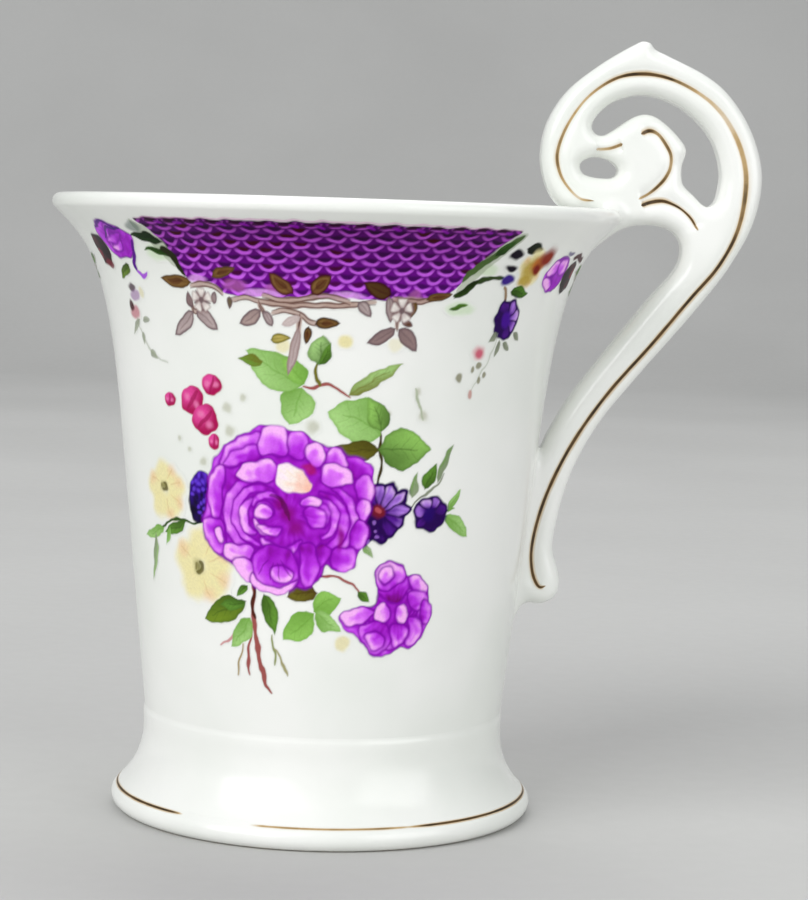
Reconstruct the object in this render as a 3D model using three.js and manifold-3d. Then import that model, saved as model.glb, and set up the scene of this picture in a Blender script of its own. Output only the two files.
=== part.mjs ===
// Footed chocolate cup: a tapering porcelain beaker with a flared lip, a hollow spreading foot and a tall
// openwork scroll handle, decorated with gilt lines and printed enamel films.
// Millimetres, +Z up. The origin is on the cup's axis, in the plane that the foot stands on. The handle is
// on the +X side and lies in the XZ plane; the front of the cup faces -Y.

import * as THREE from 'three';
import { mergeVertices } from 'three/addons/utils/BufferGeometryUtils.js';
import Module from 'manifold-3d';

const wasm = await Module();
wasm.setup();

// Beaker
const RIM_HEIGHT = 82.4;
const RIM_RADIUS = 38.15;
const FLARE_HEIGHT = 29.8;
const FLARE_START_RADIUS = 28.4;
const LIP_LEAN = 45;
const FLARE_PULL = 22;
const LIP_PULL = 6;
const BASE_RADIUS = 24.3;
const WALL = 2.2;
const FLOOR = 3.2;
const FLOOR_CORNER = 6;
const SEAM_EDGE = 0.5;

// Foot
const FOOT_HEIGHT = 12.6;
const FOOT_RADIUS = 28.6;
const BEAD_RADIUS = 1.55;
const BEAD_TOP_ANGLE = 55;
const COVE_LOW_PULL = 3.6;
const COVE_HIGH_PULL = 4.2;
const FOOT_WALL = 3;
const STANDING_RING = 2.6;

// Slip in the luted joints
const SLIP = 0.4;
const SEAT_GAP = 0.3;

// Handle, in the XZ plane
const HANDLE_DEPTH = 6.8;
const HANDLE_ROUNDING = 1;
const SCROLL_RADIUS = 12.15;
const SCROLL_RISE = 5.5;
const SCROLL_REACH = 3.6;
const BAND_WIDTH = 5.4;
const TAIL_BEND_DROP = 7;
const TAIL_WIDTH = 5.9;
const ROOT_HEIGHT = 50;
const ROOT_STANDOFF = 2.3;
const ROOT_BEND = 6.3;
const ROOT_WIDTH = 4.2;
const KNOB_HEIGHT = 31.3;
const KNOB_RADIUS = 2.4;
const KNOB_STANDOFF = 3;
const BRIDGE_WIDTH = 6.4;
const BRIDGE_END_WIDTH = 4.6;
const ARM_WIDTH = 2.9;
const BOSS_WIDTH = 9;
const BOSS_HEIGHT = 11.8;
const BOSS_RISE = 1.5;
const BOSS_LINE_SPREAD = 100;
const BOSS_NECK_WIDTH = 5.4;
const CREST_RISE = 2.3;
const CREST_TIP = 1.6;
const CREST_ROUNDING = 0.4;

// Places on the scroll's circle, in degrees from the +X side
const SCROLL_START_ANGLE = 200;
const BRIDGE_START_ANGLE = 188;
const ARM_ANGLE = 170;
const CREST_START_ANGLE = 138;
const CREST_TIP_ANGLE = 97;
const CREST_END_ANGLE = 80;

// Films: gilding and enamel prints
const FILM = 0.25;
const FILM_GAP = 0.3;
const GILT_WIDTH = 0.55;
const SPINE_OFFSET = 0.6;
const SPINE_TAIL_OFFSET = 1.3;
const PANEL_DROP = 3.3;
const PANEL_HEIGHT = 8.9;
const PANEL_TOP_ANGLE = 41.5;
const PANEL_BOTTOM_ANGLE = 31;
const BOUQUET_RISE = 9.7;
const BOUQUET_SIDE = -3.5;
const BOUQUET_RADIUS = 22;
const BOUQUET_LOBES = 7;
const LOBE_DEPTH = 1.2;
const GARLAND_DROP = 6.4;
const GARLAND_WIDTH = 5;
const GARLAND_SAG = 3;
const GARLAND_ANGLE = 47;

// Fineness of the facets
const TURNED_SEGMENTS = 72;
const FLARE_STEPS = 12;
const COVE_STEPS = 6;
const ARC_STEPS = 6;
const SCROLL_STEPS = 24;
const BEVEL_STEPS = 2;
const FILM_COLUMNS = 14;
const PANEL_ROWS = 4;
const GARLAND_ROWS = 2;
const MERGE_DISTANCE = 1e-4;
const CRUMB_VOLUME = 0.01;

const degrees = THREE.MathUtils.degToRad;
const point = (x, y) => new THREE.Vector2(x, y);

const porcelain = new THREE.MeshStandardMaterial({ color: 0xf1f0ea, roughness: 0.12, metalness: 0 });
const slipClay = new THREE.MeshStandardMaterial({ color: 0xe6e3da, roughness: 0.6, metalness: 0 });
const gilding = new THREE.MeshStandardMaterial({ color: 0x8a6a34, roughness: 0.35, metalness: 0.9 });
const purpleEnamel = new THREE.MeshStandardMaterial({ color: 0x7a1c78, roughness: 0.2, metalness: 0 });
const flowerEnamel = new THREE.MeshStandardMaterial({ color: 0xb45cb4, roughness: 0.2, metalness: 0 });
const garlandEnamel = new THREE.MeshStandardMaterial({ color: 0x6a7a5a, roughness: 0.2, metalness: 0 });

// Points along part of a circle, angles in degrees, both ends included
function arc(centre, radius, from, to, steps) {
  return Array.from({ length: steps + 1 }, (_, i) => {
    const angle = degrees(THREE.MathUtils.lerp(from, to, i / steps));
    return point(centre.x + radius * Math.cos(angle), centre.y + radius * Math.sin(angle));
  });
}

// Unit vectors square to a line of points, to the right of its direction
function rightNormals(line) {
  return line.map((_, i) => {
    const before = line[Math.max(i - 1, 0)];
    const after = line[Math.min(i + 1, line.length - 1)];
    const along = after.clone().sub(before).normalize();
    return point(along.y, -along.x);
  });
}

// A line of points moved to its right, by one distance or by one for each point
function offsetLine(line, distance) {
  const normals = rightNormals(line);
  return line.map((p, i) => p.clone().addScaledVector(normals[i], distance[i] ?? distance));
}

// Solid turned about Z from a profile of radius and height
function turned(profile) {
  return new THREE.LatheGeometry(profile, TURNED_SEGMENTS).rotateX(Math.PI / 2);
}

// Outline in the XZ plane made into a slab that is centred on y = 0
function slab(shape, depth, rounding) {
  const geometry = new THREE.ExtrudeGeometry(shape, {
    depth: depth - 2 * rounding,
    bevelEnabled: rounding > 0,
    bevelThickness: rounding,
    bevelSize: rounding,
    bevelOffset: -rounding,
    bevelSegments: BEVEL_STEPS,
    curveSegments: ARC_STEPS,
  });
  geometry.rotateX(Math.PI / 2);
  return geometry.translate(0, depth / 2 - rounding, 0);
}

// Strip outline along a centre line, with a half-width at each point
function strip(centreLine, halfWidths) {
  const right = offsetLine(centreLine, halfWidths);
  const left = offsetLine(centreLine, halfWidths.map((half) => -half));
  return new THREE.Shape([...right, ...left.reverse()]);
}

// Closed solid for cutting and joining
function toSolid(geometry) {
  const bare = geometry.clone();
  bare.deleteAttribute('normal');
  bare.deleteAttribute('uv');
  const merged = mergeVertices(bare, MERGE_DISTANCE);
  const index = merged.index.array;
  const triangles = [];
  for (let i = 0; i < index.length; i += 3) {
    const [a, b, c] = index.slice(i, i + 3);
    if (a !== b && b !== c && c !== a) triangles.push(a, b, c);
  }
  return new wasm.Manifold(new wasm.Mesh({
    numProp: 3,
    vertProperties: new Float32Array(merged.attributes.position.array),
    triVerts: new Uint32Array(triangles),
  }));
}

// Mesh of a solid, without the crumbs that cutting can leave where limbs share a face
function toGeometry(solid) {
  const bits = solid.decompose().filter((bit) => bit.volume() > CRUMB_VOLUME);
  const mesh = wasm.Manifold.compose(bits).getMesh();
  const geometry = new THREE.BufferGeometry();
  geometry.setAttribute('position', new THREE.BufferAttribute(mesh.vertProperties, 3));
  geometry.setIndex(new THREE.BufferAttribute(mesh.triVerts, 1));
  geometry.computeVertexNormals();
  return geometry;
}

function piece(name, geometry, material) {
  const mesh = new THREE.Mesh(geometry, material);
  mesh.name = name;
  return mesh;
}

// Outer wall of the beaker from its base to the lip, a straight taper and then a flare that leans out
const beakerBase = FOOT_HEIGHT + SLIP;
const lipRadius = WALL / 2;
const lipCentre = point(RIM_RADIUS - lipRadius, RIM_HEIGHT - lipRadius);

function outerWall() {
  const base = point(BASE_RADIUS, beakerBase + SEAM_EDGE);
  const flareStart = point(FLARE_START_RADIUS, RIM_HEIGHT - FLARE_HEIGHT);
  const taper = flareStart.clone().sub(base).normalize();
  const flareEnd = arc(lipCentre, lipRadius, -LIP_LEAN, -LIP_LEAN, 1)[0];
  const lean = point(Math.sin(degrees(LIP_LEAN)), Math.cos(degrees(LIP_LEAN)));
  const flare = new THREE.CubicBezierCurve(
    flareStart,
    flareStart.clone().addScaledVector(taper, FLARE_PULL),
    flareEnd.clone().addScaledVector(lean, -LIP_PULL),
    flareEnd,
  );
  return [base, ...flare.getPoints(FLARE_STEPS)];
}

const wallLine = outerWall();

// Outer radius of the beaker's wall at a height
function wallRadius(height) {
  const above = wallLine.findIndex((p) => p.y > height);
  const upper = above === -1 ? wallLine.length - 1 : Math.max(above, 1);
  const high = wallLine[upper];
  const low = wallLine[upper - 1];
  return THREE.MathUtils.mapLinear(height, low.y, high.y, low.x, high.x);
}

// Profile of the beaker, or of the space around it that a joint keeps clear
function beakerProfile(clearance = 0) {
  const outside = offsetLine(wallLine, clearance);
  const inside = offsetLine(wallLine, -WALL - clearance).reverse();
  const floorTop = beakerBase + FLOOR;
  const cornerRadius = inside.at(-1).x;
  const innerWall = inside.filter((p) => p.y > floorTop + FLOOR_CORNER);
  return [
    point(0, beakerBase),
    point(BASE_RADIUS - SEAM_EDGE, beakerBase),
    ...outside,
    ...arc(lipCentre, lipRadius + clearance, -LIP_LEAN, 180 - LIP_LEAN, ARC_STEPS).slice(1, -1),
    ...innerWall,
    ...arc(point(cornerRadius - FLOOR_CORNER, floorTop + FLOOR_CORNER), FLOOR_CORNER, 0, -90, ARC_STEPS),
    point(0, floorTop),
  ];
}

// Cove of the foot, from the bead up to the seam under the beaker
const beadCentre = point(FOOT_RADIUS - BEAD_RADIUS, BEAD_RADIUS);

function footCove() {
  const low = arc(beadCentre, BEAD_RADIUS, BEAD_TOP_ANGLE, BEAD_TOP_ANGLE, 1)[0];
  const high = point(BASE_RADIUS, FOOT_HEIGHT - SEAM_EDGE);
  const spread = point(-Math.SQRT1_2, Math.SQRT1_2);
  return new THREE.CubicBezierCurve(
    low,
    low.clone().addScaledVector(spread, COVE_LOW_PULL),
    point(high.x, high.y - COVE_HIGH_PULL),
    high,
  );
}

function footProfile() {
  const cove = footCove().getPoints(COVE_STEPS);
  const hollow = offsetLine(cove, -FOOT_WALL).reverse().filter((p) => p.y > BEAD_RADIUS);
  const neck = BASE_RADIUS - FOOT_WALL;
  return [
    point(beadCentre.x - STANDING_RING, 0),
    ...arc(beadCentre, BEAD_RADIUS, -90, BEAD_TOP_ANGLE, ARC_STEPS),
    ...cove.slice(1),
    point(BASE_RADIUS - SEAM_EDGE, FOOT_HEIGHT),
    point(neck, FOOT_HEIGHT),
    ...hollow.slice(1),
    point(beadCentre.x - STANDING_RING, 0),
  ];
}

function footSlipProfile() {
  const inner = BASE_RADIUS - FOOT_WALL;
  const outer = BASE_RADIUS - SEAM_EDGE;
  return [
    point(inner, FOOT_HEIGHT),
    point(outer, FOOT_HEIGHT),
    point(outer, beakerBase),
    point(inner, beakerBase),
    point(inner, FOOT_HEIGHT),
  ];
}

// Thin gilt line round the foot, where the cove leaves the bead
function footGiltProfile() {
  const cove = footCove();
  const share = GILT_WIDTH / cove.getLength();
  const line = [cove.getPointAt(0), cove.getPointAt(share)];
  const inner = offsetLine(line, FILM_GAP);
  const outer = offsetLine(line, FILM_GAP + FILM);
  return [inner[0], outer[0], outer[1], inner[1], inner[0]];
}

// Centre lines of the handle
const scrollCentre = point(RIM_RADIUS + SCROLL_REACH, RIM_HEIGHT + SCROLL_RISE);
const bossCentre = point(scrollCentre.x, scrollCentre.y + BOSS_RISE);
const onScroll = (angle, radius = SCROLL_RADIUS) => arc(scrollCentre, radius, angle, angle, 1)[0];
const rootLine = (height) => point(wallRadius(height) + ROOT_STANDOFF, height);

// Three stretches of the tail, down from the scroll's outer side: shoulder bend, straight run and root
function tailLine() {
  const top = onScroll(0);
  const shoulder = point(top.x, top.y - TAIL_BEND_DROP);
  const root = rootLine(ROOT_HEIGHT);
  const run = root.clone().sub(shoulder).normalize();
  const runStart = shoulder.clone().addScaledVector(run, TAIL_BEND_DROP);
  const runEnd = root.clone().addScaledVector(run, -ROOT_BEND);
  const path = new THREE.CurvePath();
  path.add(new THREE.QuadraticBezierCurve(top, shoulder, runStart));
  path.add(new THREE.LineCurve(runStart, runEnd));
  path.add(new THREE.QuadraticBezierCurve(runEnd, root, rootLine(ROOT_HEIGHT - ROOT_BEND)));
  path.add(new THREE.LineCurve(rootLine(ROOT_HEIGHT - ROOT_BEND), rootLine(KNOB_HEIGHT)));
  return path.getSpacedPoints(SCROLL_STEPS);
}

const scrollLine = arc(scrollCentre, SCROLL_RADIUS, SCROLL_START_ANGLE, 0, SCROLL_STEPS);
const tail = tailLine();

// Share of the way down the tail, from 0 at the scroll to 1 at the knob
const downTail = (p) => THREE.MathUtils.inverseLerp(tail[0].y, KNOB_HEIGHT, p.y);

function tailHalfWidth(p) {
  const rootTop = downTail(point(0, ROOT_HEIGHT));
  const narrowing = THREE.MathUtils.smoothstep(downTail(p), rootTop / 2, 1);
  return THREE.MathUtils.lerp(TAIL_WIDTH, ROOT_WIDTH, narrowing) / 2;
}

function bandOutline() {
  const line = [...scrollLine, ...tail.slice(1)];
  const scrollHalf = scrollLine.map(() => BAND_WIDTH / 2);
  return strip(line, [...scrollHalf, ...tail.slice(1).map(tailHalfWidth)]);
}

function knobOutline() {
  const centre = wallRadius(KNOB_HEIGHT) + KNOB_STANDOFF;
  return new THREE.Shape().absarc(centre, KNOB_HEIGHT, KNOB_RADIUS, 0, 2 * Math.PI);
}

// Limb that leaves the scroll's inner end, lies over the lip and runs out to the tail's shoulder
const bridgeStart = onScroll(BRIDGE_START_ANGLE);
const bridgeCurve = new THREE.CubicBezierCurve(
  bridgeStart,
  point(bridgeStart.x + BAND_WIDTH / 3, RIM_HEIGHT + BRIDGE_WIDTH / 8),
  point(scrollCentre.x + BRIDGE_WIDTH, RIM_HEIGHT + BRIDGE_WIDTH / 1.8),
  tail[Math.round(SCROLL_STEPS / 5)],
);

function bridgeOutline() {
  const line = bridgeCurve.getPoints(SCROLL_STEPS / 2);
  const halfWidths = line.map((_, i) => {
    const middle = Math.sin((Math.PI * i) / (line.length - 1));
    return THREE.MathUtils.lerp(BRIDGE_END_WIDTH, BRIDGE_WIDTH, middle) / 2;
  });
  return strip(line, halfWidths);
}

function armOutline() {
  const start = onScroll(ARM_ANGLE);
  const end = point(bossCentre.x - BOSS_WIDTH / 4, bossCentre.y + BOSS_HEIGHT / 4);
  return strip([start, end], [ARM_WIDTH / 2, ARM_WIDTH / 2]);
}

function bossOutline() {
  return new THREE.Shape()
    .absellipse(bossCentre.x, bossCentre.y, BOSS_WIDTH / 2, BOSS_HEIGHT / 2, 0, 2 * Math.PI);
}

// Neck that joins the boss to the shoulder of the tail
function bossNeckOutline() {
  const half = BOSS_NECK_WIDTH / 2;
  return strip([bossCentre, tail[Math.round(SCROLL_STEPS / 6)]], [half, half]);
}

// Leaf tip that leaves the band as a tangent and stands above it near its top
function crestOutline() {
  const outer = SCROLL_RADIUS + BAND_WIDTH / 2;
  const tip = onScroll(CREST_TIP_ANGLE, outer + CREST_RISE);
  return new THREE.Shape([
    onScroll(CREST_START_ANGLE, outer),
    onScroll(CREST_START_ANGLE),
    onScroll(CREST_END_ANGLE),
    onScroll(CREST_END_ANGLE, outer),
    point(tip.x + CREST_TIP, tip.y - CREST_TIP / 3),
    tip,
    point(tip.x - CREST_TIP, tip.y - CREST_TIP / 2),
  ]);
}

const broadLimbs = [
  bandOutline(), knobOutline(), bridgeOutline(), armOutline(), bossOutline(), bossNeckOutline(),
];
const wholeHandle = broadLimbs
  .map((outline) => toSolid(slab(outline, HANDLE_DEPTH, HANDLE_ROUNDING)))
  .reduce((joined, limb) => joined.add(limb), toSolid(slab(crestOutline(), HANDLE_DEPTH, CREST_ROUNDING)));

const aroundBeaker = (clearance) => toSolid(turned(beakerProfile(clearance)));

function handleGeometry() {
  return toGeometry(wholeHandle.subtract(aroundBeaker(SEAT_GAP + SLIP + SEAT_GAP)));
}

// Layer of slip between the handle and the beaker, above or below the middle of the finger gap
const fingerGapMiddle = (RIM_HEIGHT + ROOT_HEIGHT) / 2;

function handleSlipGeometry(bottom, top) {
  const width = 2 * (RIM_RADIUS + HANDLE_DEPTH);
  const stretch = new THREE.BoxGeometry(width, width, top - bottom).translate(0, 0, (top + bottom) / 2);
  const layer = aroundBeaker(SEAT_GAP + SLIP).subtract(aroundBeaker(SEAT_GAP));
  return toGeometry(wholeHandle.intersect(layer).intersect(toSolid(stretch)));
}

// Gilt line on the handle's front face, along part of a centre line
function giltLineGeometry(line) {
  const outline = strip(line, line.map(() => GILT_WIDTH / 2));
  return slab(outline, FILM, 0).translate(0, -(HANDLE_DEPTH + FILM) / 2 - FILM_GAP, 0);
}

// The spine line keeps to the outer side of the band and crosses to the wall's side at the root
function spineLine() {
  const rootTop = downTail(point(0, ROOT_HEIGHT));
  const offsets = tail.map((p) => {
    const outward = THREE.MathUtils.smoothstep(downTail(p), 0, rootTop / 2);
    const inward = THREE.MathUtils.smoothstep(downTail(p), rootTop, 1);
    const onRun = THREE.MathUtils.lerp(SPINE_OFFSET, SPINE_TAIL_OFFSET, outward);
    return THREE.MathUtils.lerp(onRun, 0, inward);
  });
  const round = offsetLine(scrollLine, scrollLine.map(() => -SPINE_OFFSET));
  return [...round, ...offsetLine(tail, offsets.map((d) => -d)).slice(1)];
}

function bossLine() {
  const ring = new THREE.EllipseCurve(
    bossCentre.x, bossCentre.y, BOSS_WIDTH / 3, BOSS_HEIGHT / 3,
    degrees(BOSS_LINE_SPREAD), degrees(-BOSS_LINE_SPREAD), true,
  );
  return ring.getPoints(2 * ARC_STEPS);
}

// Outer half of the bridge, up to the shoulder
function bridgeGiltLine() {
  const line = bridgeCurve.getSpacedPoints(SCROLL_STEPS / 2);
  return line.slice(line.length / 2, -2);
}

// Closed film on the wall from a grid of angle (degrees from the front) and height
function wallFilm(columns, rows, place) {
  const positions = [];
  const index = [];
  const perLayer = (columns + 1) * (rows + 1);
  for (const lift of [FILM_GAP, FILM_GAP + FILM]) {
    for (let row = 0; row <= rows; row += 1) {
      for (let column = 0; column <= columns; column += 1) {
        const { angle, height } = place(column / columns, row / rows);
        const radius = wallRadius(height) + lift;
        positions.push(radius * Math.sin(degrees(angle)), -radius * Math.cos(degrees(angle)), height);
      }
    }
  }
  const quad = (a, b, c, d) => index.push(a, b, c, a, c, d);
  const at = (column, row, layer) => layer * perLayer + row * (columns + 1) + column;
  for (let row = 0; row < rows; row += 1) {
    for (let column = 0; column < columns; column += 1) {
      const corners = [[column, row], [column + 1, row], [column + 1, row + 1], [column, row + 1]];
      quad(...corners.map(([c, r]) => at(c, r, 1)));
      quad(...corners.map(([c, r]) => at(c, r, 0)).reverse());
    }
  }
  for (let column = 0; column < columns; column += 1) {
    quad(at(column, 0, 0), at(column + 1, 0, 0), at(column + 1, 0, 1), at(column, 0, 1));
    quad(at(column, rows, 1), at(column + 1, rows, 1), at(column + 1, rows, 0), at(column, rows, 0));
  }
  for (let row = 0; row < rows; row += 1) {
    quad(at(0, row, 0), at(0, row, 1), at(0, row + 1, 1), at(0, row + 1, 0));
    quad(at(columns, row, 1), at(columns, row, 0), at(columns, row + 1, 0), at(columns, row + 1, 1));
  }
  const geometry = new THREE.BufferGeometry();
  geometry.setAttribute('position', new THREE.Float32BufferAttribute(positions, 3));
  geometry.setIndex(index);
  geometry.computeVertexNormals();
  return geometry;
}

function scalePanelGeometry() {
  return wallFilm(FILM_COLUMNS, PANEL_ROWS, (across, up) => ({
    angle: (2 * across - 1) * THREE.MathUtils.lerp(PANEL_BOTTOM_ANGLE, PANEL_TOP_ANGLE, up),
    height: RIM_HEIGHT - PANEL_DROP - PANEL_HEIGHT * (1 - up),
  }));
}

// Round spray with a wavy edge, above the middle of the straight wall
function bouquetGeometry() {
  const middle = (beakerBase + RIM_HEIGHT - FLARE_HEIGHT) / 2 + BOUQUET_RISE;
  const edge = (turn) => BOUQUET_RADIUS + LOBE_DEPTH * Math.cos(BOUQUET_LOBES * turn);
  return wallFilm(FILM_COLUMNS, FILM_COLUMNS, (across, up) => {
    const x = 2 * across - 1;
    const y = 2 * up - 1;
    const reach = edge(Math.atan2(y, x));
    const height = middle + reach * y * Math.sqrt(1 - (x * x) / 2);
    const side = BOUQUET_SIDE + reach * x * Math.sqrt(1 - (y * y) / 2);
    return { angle: THREE.MathUtils.radToDeg(side / wallRadius(height)), height };
  });
}

function garlandGeometry() {
  return wallFilm(FILM_COLUMNS, GARLAND_ROWS, (across, up) => {
    const x = 2 * across - 1;
    const middle = RIM_HEIGHT - GARLAND_DROP - GARLAND_SAG * (1 - x * x);
    return { angle: 90 + x * GARLAND_ANGLE, height: middle + GARLAND_WIDTH * (up - 0.5) };
  });
}

const clay = new THREE.Group();
clay.add(
  piece('foot', turned(footProfile()), porcelain),
  piece('foot_slip', turned(footSlipProfile()), slipClay),
  piece('beaker', turned(beakerProfile()), porcelain),
  piece('handle', handleGeometry(), porcelain),
  piece('rim_slip', handleSlipGeometry(fingerGapMiddle, 2 * RIM_HEIGHT), slipClay),
  piece('root_slip', handleSlipGeometry(0, fingerGapMiddle), slipClay),
);

// Each side of the cup carries the same lines on the handle, and each face the same prints on the wall
const gilt = new THREE.Group();
gilt.add(piece('foot_gilt_line', turned(footGiltProfile()), gilding));
for (const [side, shift] of [['front', 0], ['back', HANDLE_DEPTH + FILM + 2 * FILM_GAP]]) {
  for (const [name, line] of [['spine', spineLine()], ['boss', bossLine()], ['bridge', bridgeGiltLine()]]) {
    const mesh = piece(`${name}_gilt_${side}`, giltLineGeometry(line), gilding);
    mesh.position.y = shift;
    gilt.add(mesh);
  }
}

const prints = new THREE.Group();
for (const [face, garlandSide, turn] of [['front', 'handle', 0], ['back', 'far', Math.PI]]) {
  const half = new THREE.Group();
  half.rotation.z = turn;
  half.add(
    piece(`scale_panel_${face}`, scalePanelGeometry(), purpleEnamel),
    piece(`bouquet_${face}`, bouquetGeometry(), flowerEnamel),
    piece(`garland_${garlandSide}_side`, garlandGeometry(), garlandEnamel),
  );
  prints.add(half);
}

const cup = new THREE.Group();
cup.add(clay, gilt, prints);

export default cup;
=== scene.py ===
"""Footed chocolate cup: white porcelain, openwork scroll handle, worn gilt lines and printed flowers.

Sizes are in millimetres in the frame of the CAD model: the cup's axis is Z, the foot stands at z = 0, the
handle is on the +X side in the XZ plane and the printed front faces -Y. Meshes are made in metres.
"""

import math

import bpy
import numpy as np
from mathutils import Matrix, Vector


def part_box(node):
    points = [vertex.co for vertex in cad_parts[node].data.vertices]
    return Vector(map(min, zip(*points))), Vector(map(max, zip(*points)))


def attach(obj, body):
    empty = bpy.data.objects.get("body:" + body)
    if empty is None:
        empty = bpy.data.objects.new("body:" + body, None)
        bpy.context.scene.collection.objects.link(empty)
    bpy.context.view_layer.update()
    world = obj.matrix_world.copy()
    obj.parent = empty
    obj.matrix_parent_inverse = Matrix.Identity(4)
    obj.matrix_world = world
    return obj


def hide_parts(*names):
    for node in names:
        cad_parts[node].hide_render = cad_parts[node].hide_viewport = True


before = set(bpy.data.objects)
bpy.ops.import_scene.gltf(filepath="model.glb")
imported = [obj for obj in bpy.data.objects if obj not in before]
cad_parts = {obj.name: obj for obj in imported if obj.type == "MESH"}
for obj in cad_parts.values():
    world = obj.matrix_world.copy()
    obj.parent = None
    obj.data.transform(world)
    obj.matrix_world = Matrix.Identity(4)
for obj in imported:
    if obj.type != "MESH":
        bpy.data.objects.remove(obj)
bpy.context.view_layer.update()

MM = 0.001

# Camera, fitted to the photograph: millimetres, degrees, and pixels of a frame 808 wide and 900 high
CAMERA_PLACE = (0, -334.92, 77.97)
CAMERA_YAW = 1.71
CAMERA_PITCH = -4.94
CAMERA_ROLL = 1.84
FOCAL_PIXELS = 2470.82
LONG_SIDE_PIXELS = 900
SENSOR_WIDTH = 36
CLIP_START = 10

# Beaker: the rim, the seam and the foot come from the frame, the rest repeats the part's own sizes
RIM_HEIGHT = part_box("beaker")[1][2] / MM
RIM_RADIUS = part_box("beaker")[1][0] / MM
SEAM_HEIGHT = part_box("beaker")[0][2] / MM
FLARE_HEIGHT = 29.8
FLARE_START_RADIUS = 28.4
LIP_LEAN = 45
FLARE_PULL = 22
LIP_PULL = 6
BASE_RADIUS = 24.3
WALL = 2.2
FLOOR = 3.2
FLOOR_CORNER = 6
SEAM_EDGE = 0.5
LIP_CENTRE = np.array([RIM_RADIUS - WALL / 2, RIM_HEIGHT - WALL / 2])
TURN_SEGMENTS = 288

# Foot
FOOT_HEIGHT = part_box("foot")[1][2] / MM
FOOT_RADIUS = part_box("foot")[1][0] / MM
BEAD_RADIUS = 1.55
BEAD_TOP_ANGLE = 55
COVE_LOW_PULL = 3.6
COVE_HIGH_PULL = 4.2
FOOT_WALL = 3
STANDING_RING = 2.6
STANDING_EDGE = 0.5
SEAM_BEAD = 0.16
SEAM_FEATHER = 1.2
SEAM_SPREAD = 2.2
FEATHER_SINK = 0.02
BEAD_CENTRE = np.array([FOOT_RADIUS - BEAD_RADIUS, BEAD_RADIUS])

# Handle: its depth and edges, the reach of its fillets on the beaker by height, the skirt that it hides in
# the wall, and the boxes and steps of the grids that it is worked out on
HANDLE_DEPTH = 6.8
HANDLE_EDGE = 2.1
FILLETS = [(28, 1.1), (31, 1.1), (35, 2.2), (43, 2.2), (48, 1.0), (58, 1.1), (80, 2.2)]
SKIN = 0.03
SKIRT_DEPTH = 0.5
SKIRT_REACH = 2.4
RIM_HOLLOW = 14
NET_STEP = 0.3
NET_LOW, NET_HIGH = (23, 25.5), (58.5, 106.5)
RASTER_STEP = 0.12
RASTER_LOW, RASTER_HIGH = (22, 24), (60, 108)
WALL_RASTER_LOW = (20, 20)

# Outlines of the handle and its holes in the XZ plane, as the points that their curves pass through
HANDLE_OUTLINE = [
    (31.0, 82.3), (29.7, 82.9), (28.4, 84.5), (27.5, 86.8), (27.1, 89.4), (27.8, 93.7), (30.3, 98.0),
    (34.6, 101.7), (38.9, 104.4), (40.2, 105.0), (41.2, 104.8), (41.9, 104.0), (43.6, 103.2),
    (48.9, 100.7), (51.9, 98.4), (55.3, 93.5), (57.0, 87.7), (56.2, 81.5), (53.1, 75.2), (48.4, 68.8),
    (41.1, 59.9), (36.1, 53.3), (32.7, 46.5), (31.0, 40.0), (30.6, 36.4), (31.3, 33.8), (31.7, 31.8),
    (31.3, 30.0), (30.3, 29.1), (28.9, 28.7), (27.5, 28.8), (26.6, 28.3), (25.9, 27.4), (24.8, 26.5),
    (24.6, 30.0), (26.2, 45.0), (27.8, 58.0), (30.0, 70.0), (34.2, 78.5), (36.2, 80.8), (34.0, 82.0),
]
FINGER_GAP = [
    (37.6, 79.9), (39.6, 80.3), (42.2, 80.5), (44.3, 80.2), (45.8, 79.3), (46.6, 77.6), (46.1, 75.0),
    (42.6, 70.7), (36.6, 62.9), (31.8, 56.2), (29.4, 51.8), (28.2, 49.4), (26.4, 49.2), (23.4, 50.6),
    (21.0, 56.0), (21.0, 66.0), (24.6, 73.6), (29.4, 76.6), (34.6, 78.3),
]
CRESCENT = [
    (33.8, 93.7), (35.9, 96.4), (40.5, 97.9), (45.7, 96.4), (50.0, 92.4), (51.5, 88.1), (51.4, 85.8),
    (50.9, 83.9), (49.9, 83.2), (49.1, 83.5), (47.8, 84.7), (46.4, 86.1), (46.1, 88.4), (46.6, 90.7),
    (45.6, 92.3), (42.7, 94.8), (41.1, 95.3), (39.6, 95.0), (36.8, 93.1), (35.3, 92.3), (34.2, 92.6),
]
EYE = [(32.4, 88.4), (34.1, 89.4), (36.4, 89.0), (37.6, 87.8), (37.0, 86.8), (35.2, 86.6), (32.8, 87.2)]

# Gilt lines on the handle: x, z, how much of the gilding is left and how wide it is
SPINE_LINE = [
    (34.3, 83.5, 0.6, 0.9), (32.5, 83.7, 0.3, 0.9), (30.9, 85.0, 0.35, 0.9), (29.6, 87.0, 0.5, 1.0),
    (29.1, 89.3, 0.6, 1.1), (29.7, 92.0, 0.5, 1.0), (31.4, 95.3, 0.4, 0.9), (33.5, 97.8, 0.4, 0.9),
    (36.9, 100.0, 0.75, 1.0), (40.4, 100.6, 0.95, 1.1), (44.1, 100.0, 0.7, 1.0), (48.1, 98.1, 0.35, 1.2),
    (50.9, 95.8, 0.3, 1.6), (53.2, 92.3, 0.35, 1.8), (54.5, 88.4, 0.45, 1.8), (54.6, 84.6, 0.6, 1.6),
    (53.7, 79.8, 0.75, 1.3), (51.4, 75.2, 0.95, 1.1), (47.9, 70.9, 1.0, 1.0), (43.0, 64.7, 1.0, 1.0),
    (37.1, 57.6, 0.95, 1.0), (32.8, 51.1, 1.0, 1.0), (29.9, 45.1, 0.95, 1.0), (28.2, 39.8, 0.9, 1.0),
    (27.6, 35.5, 0.85, 1.0), (28.1, 32.4, 0.9, 1.0), (28.9, 31.2, 0.95, 0.9), (29.7, 31.4, 0.7, 0.8),
]
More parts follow.
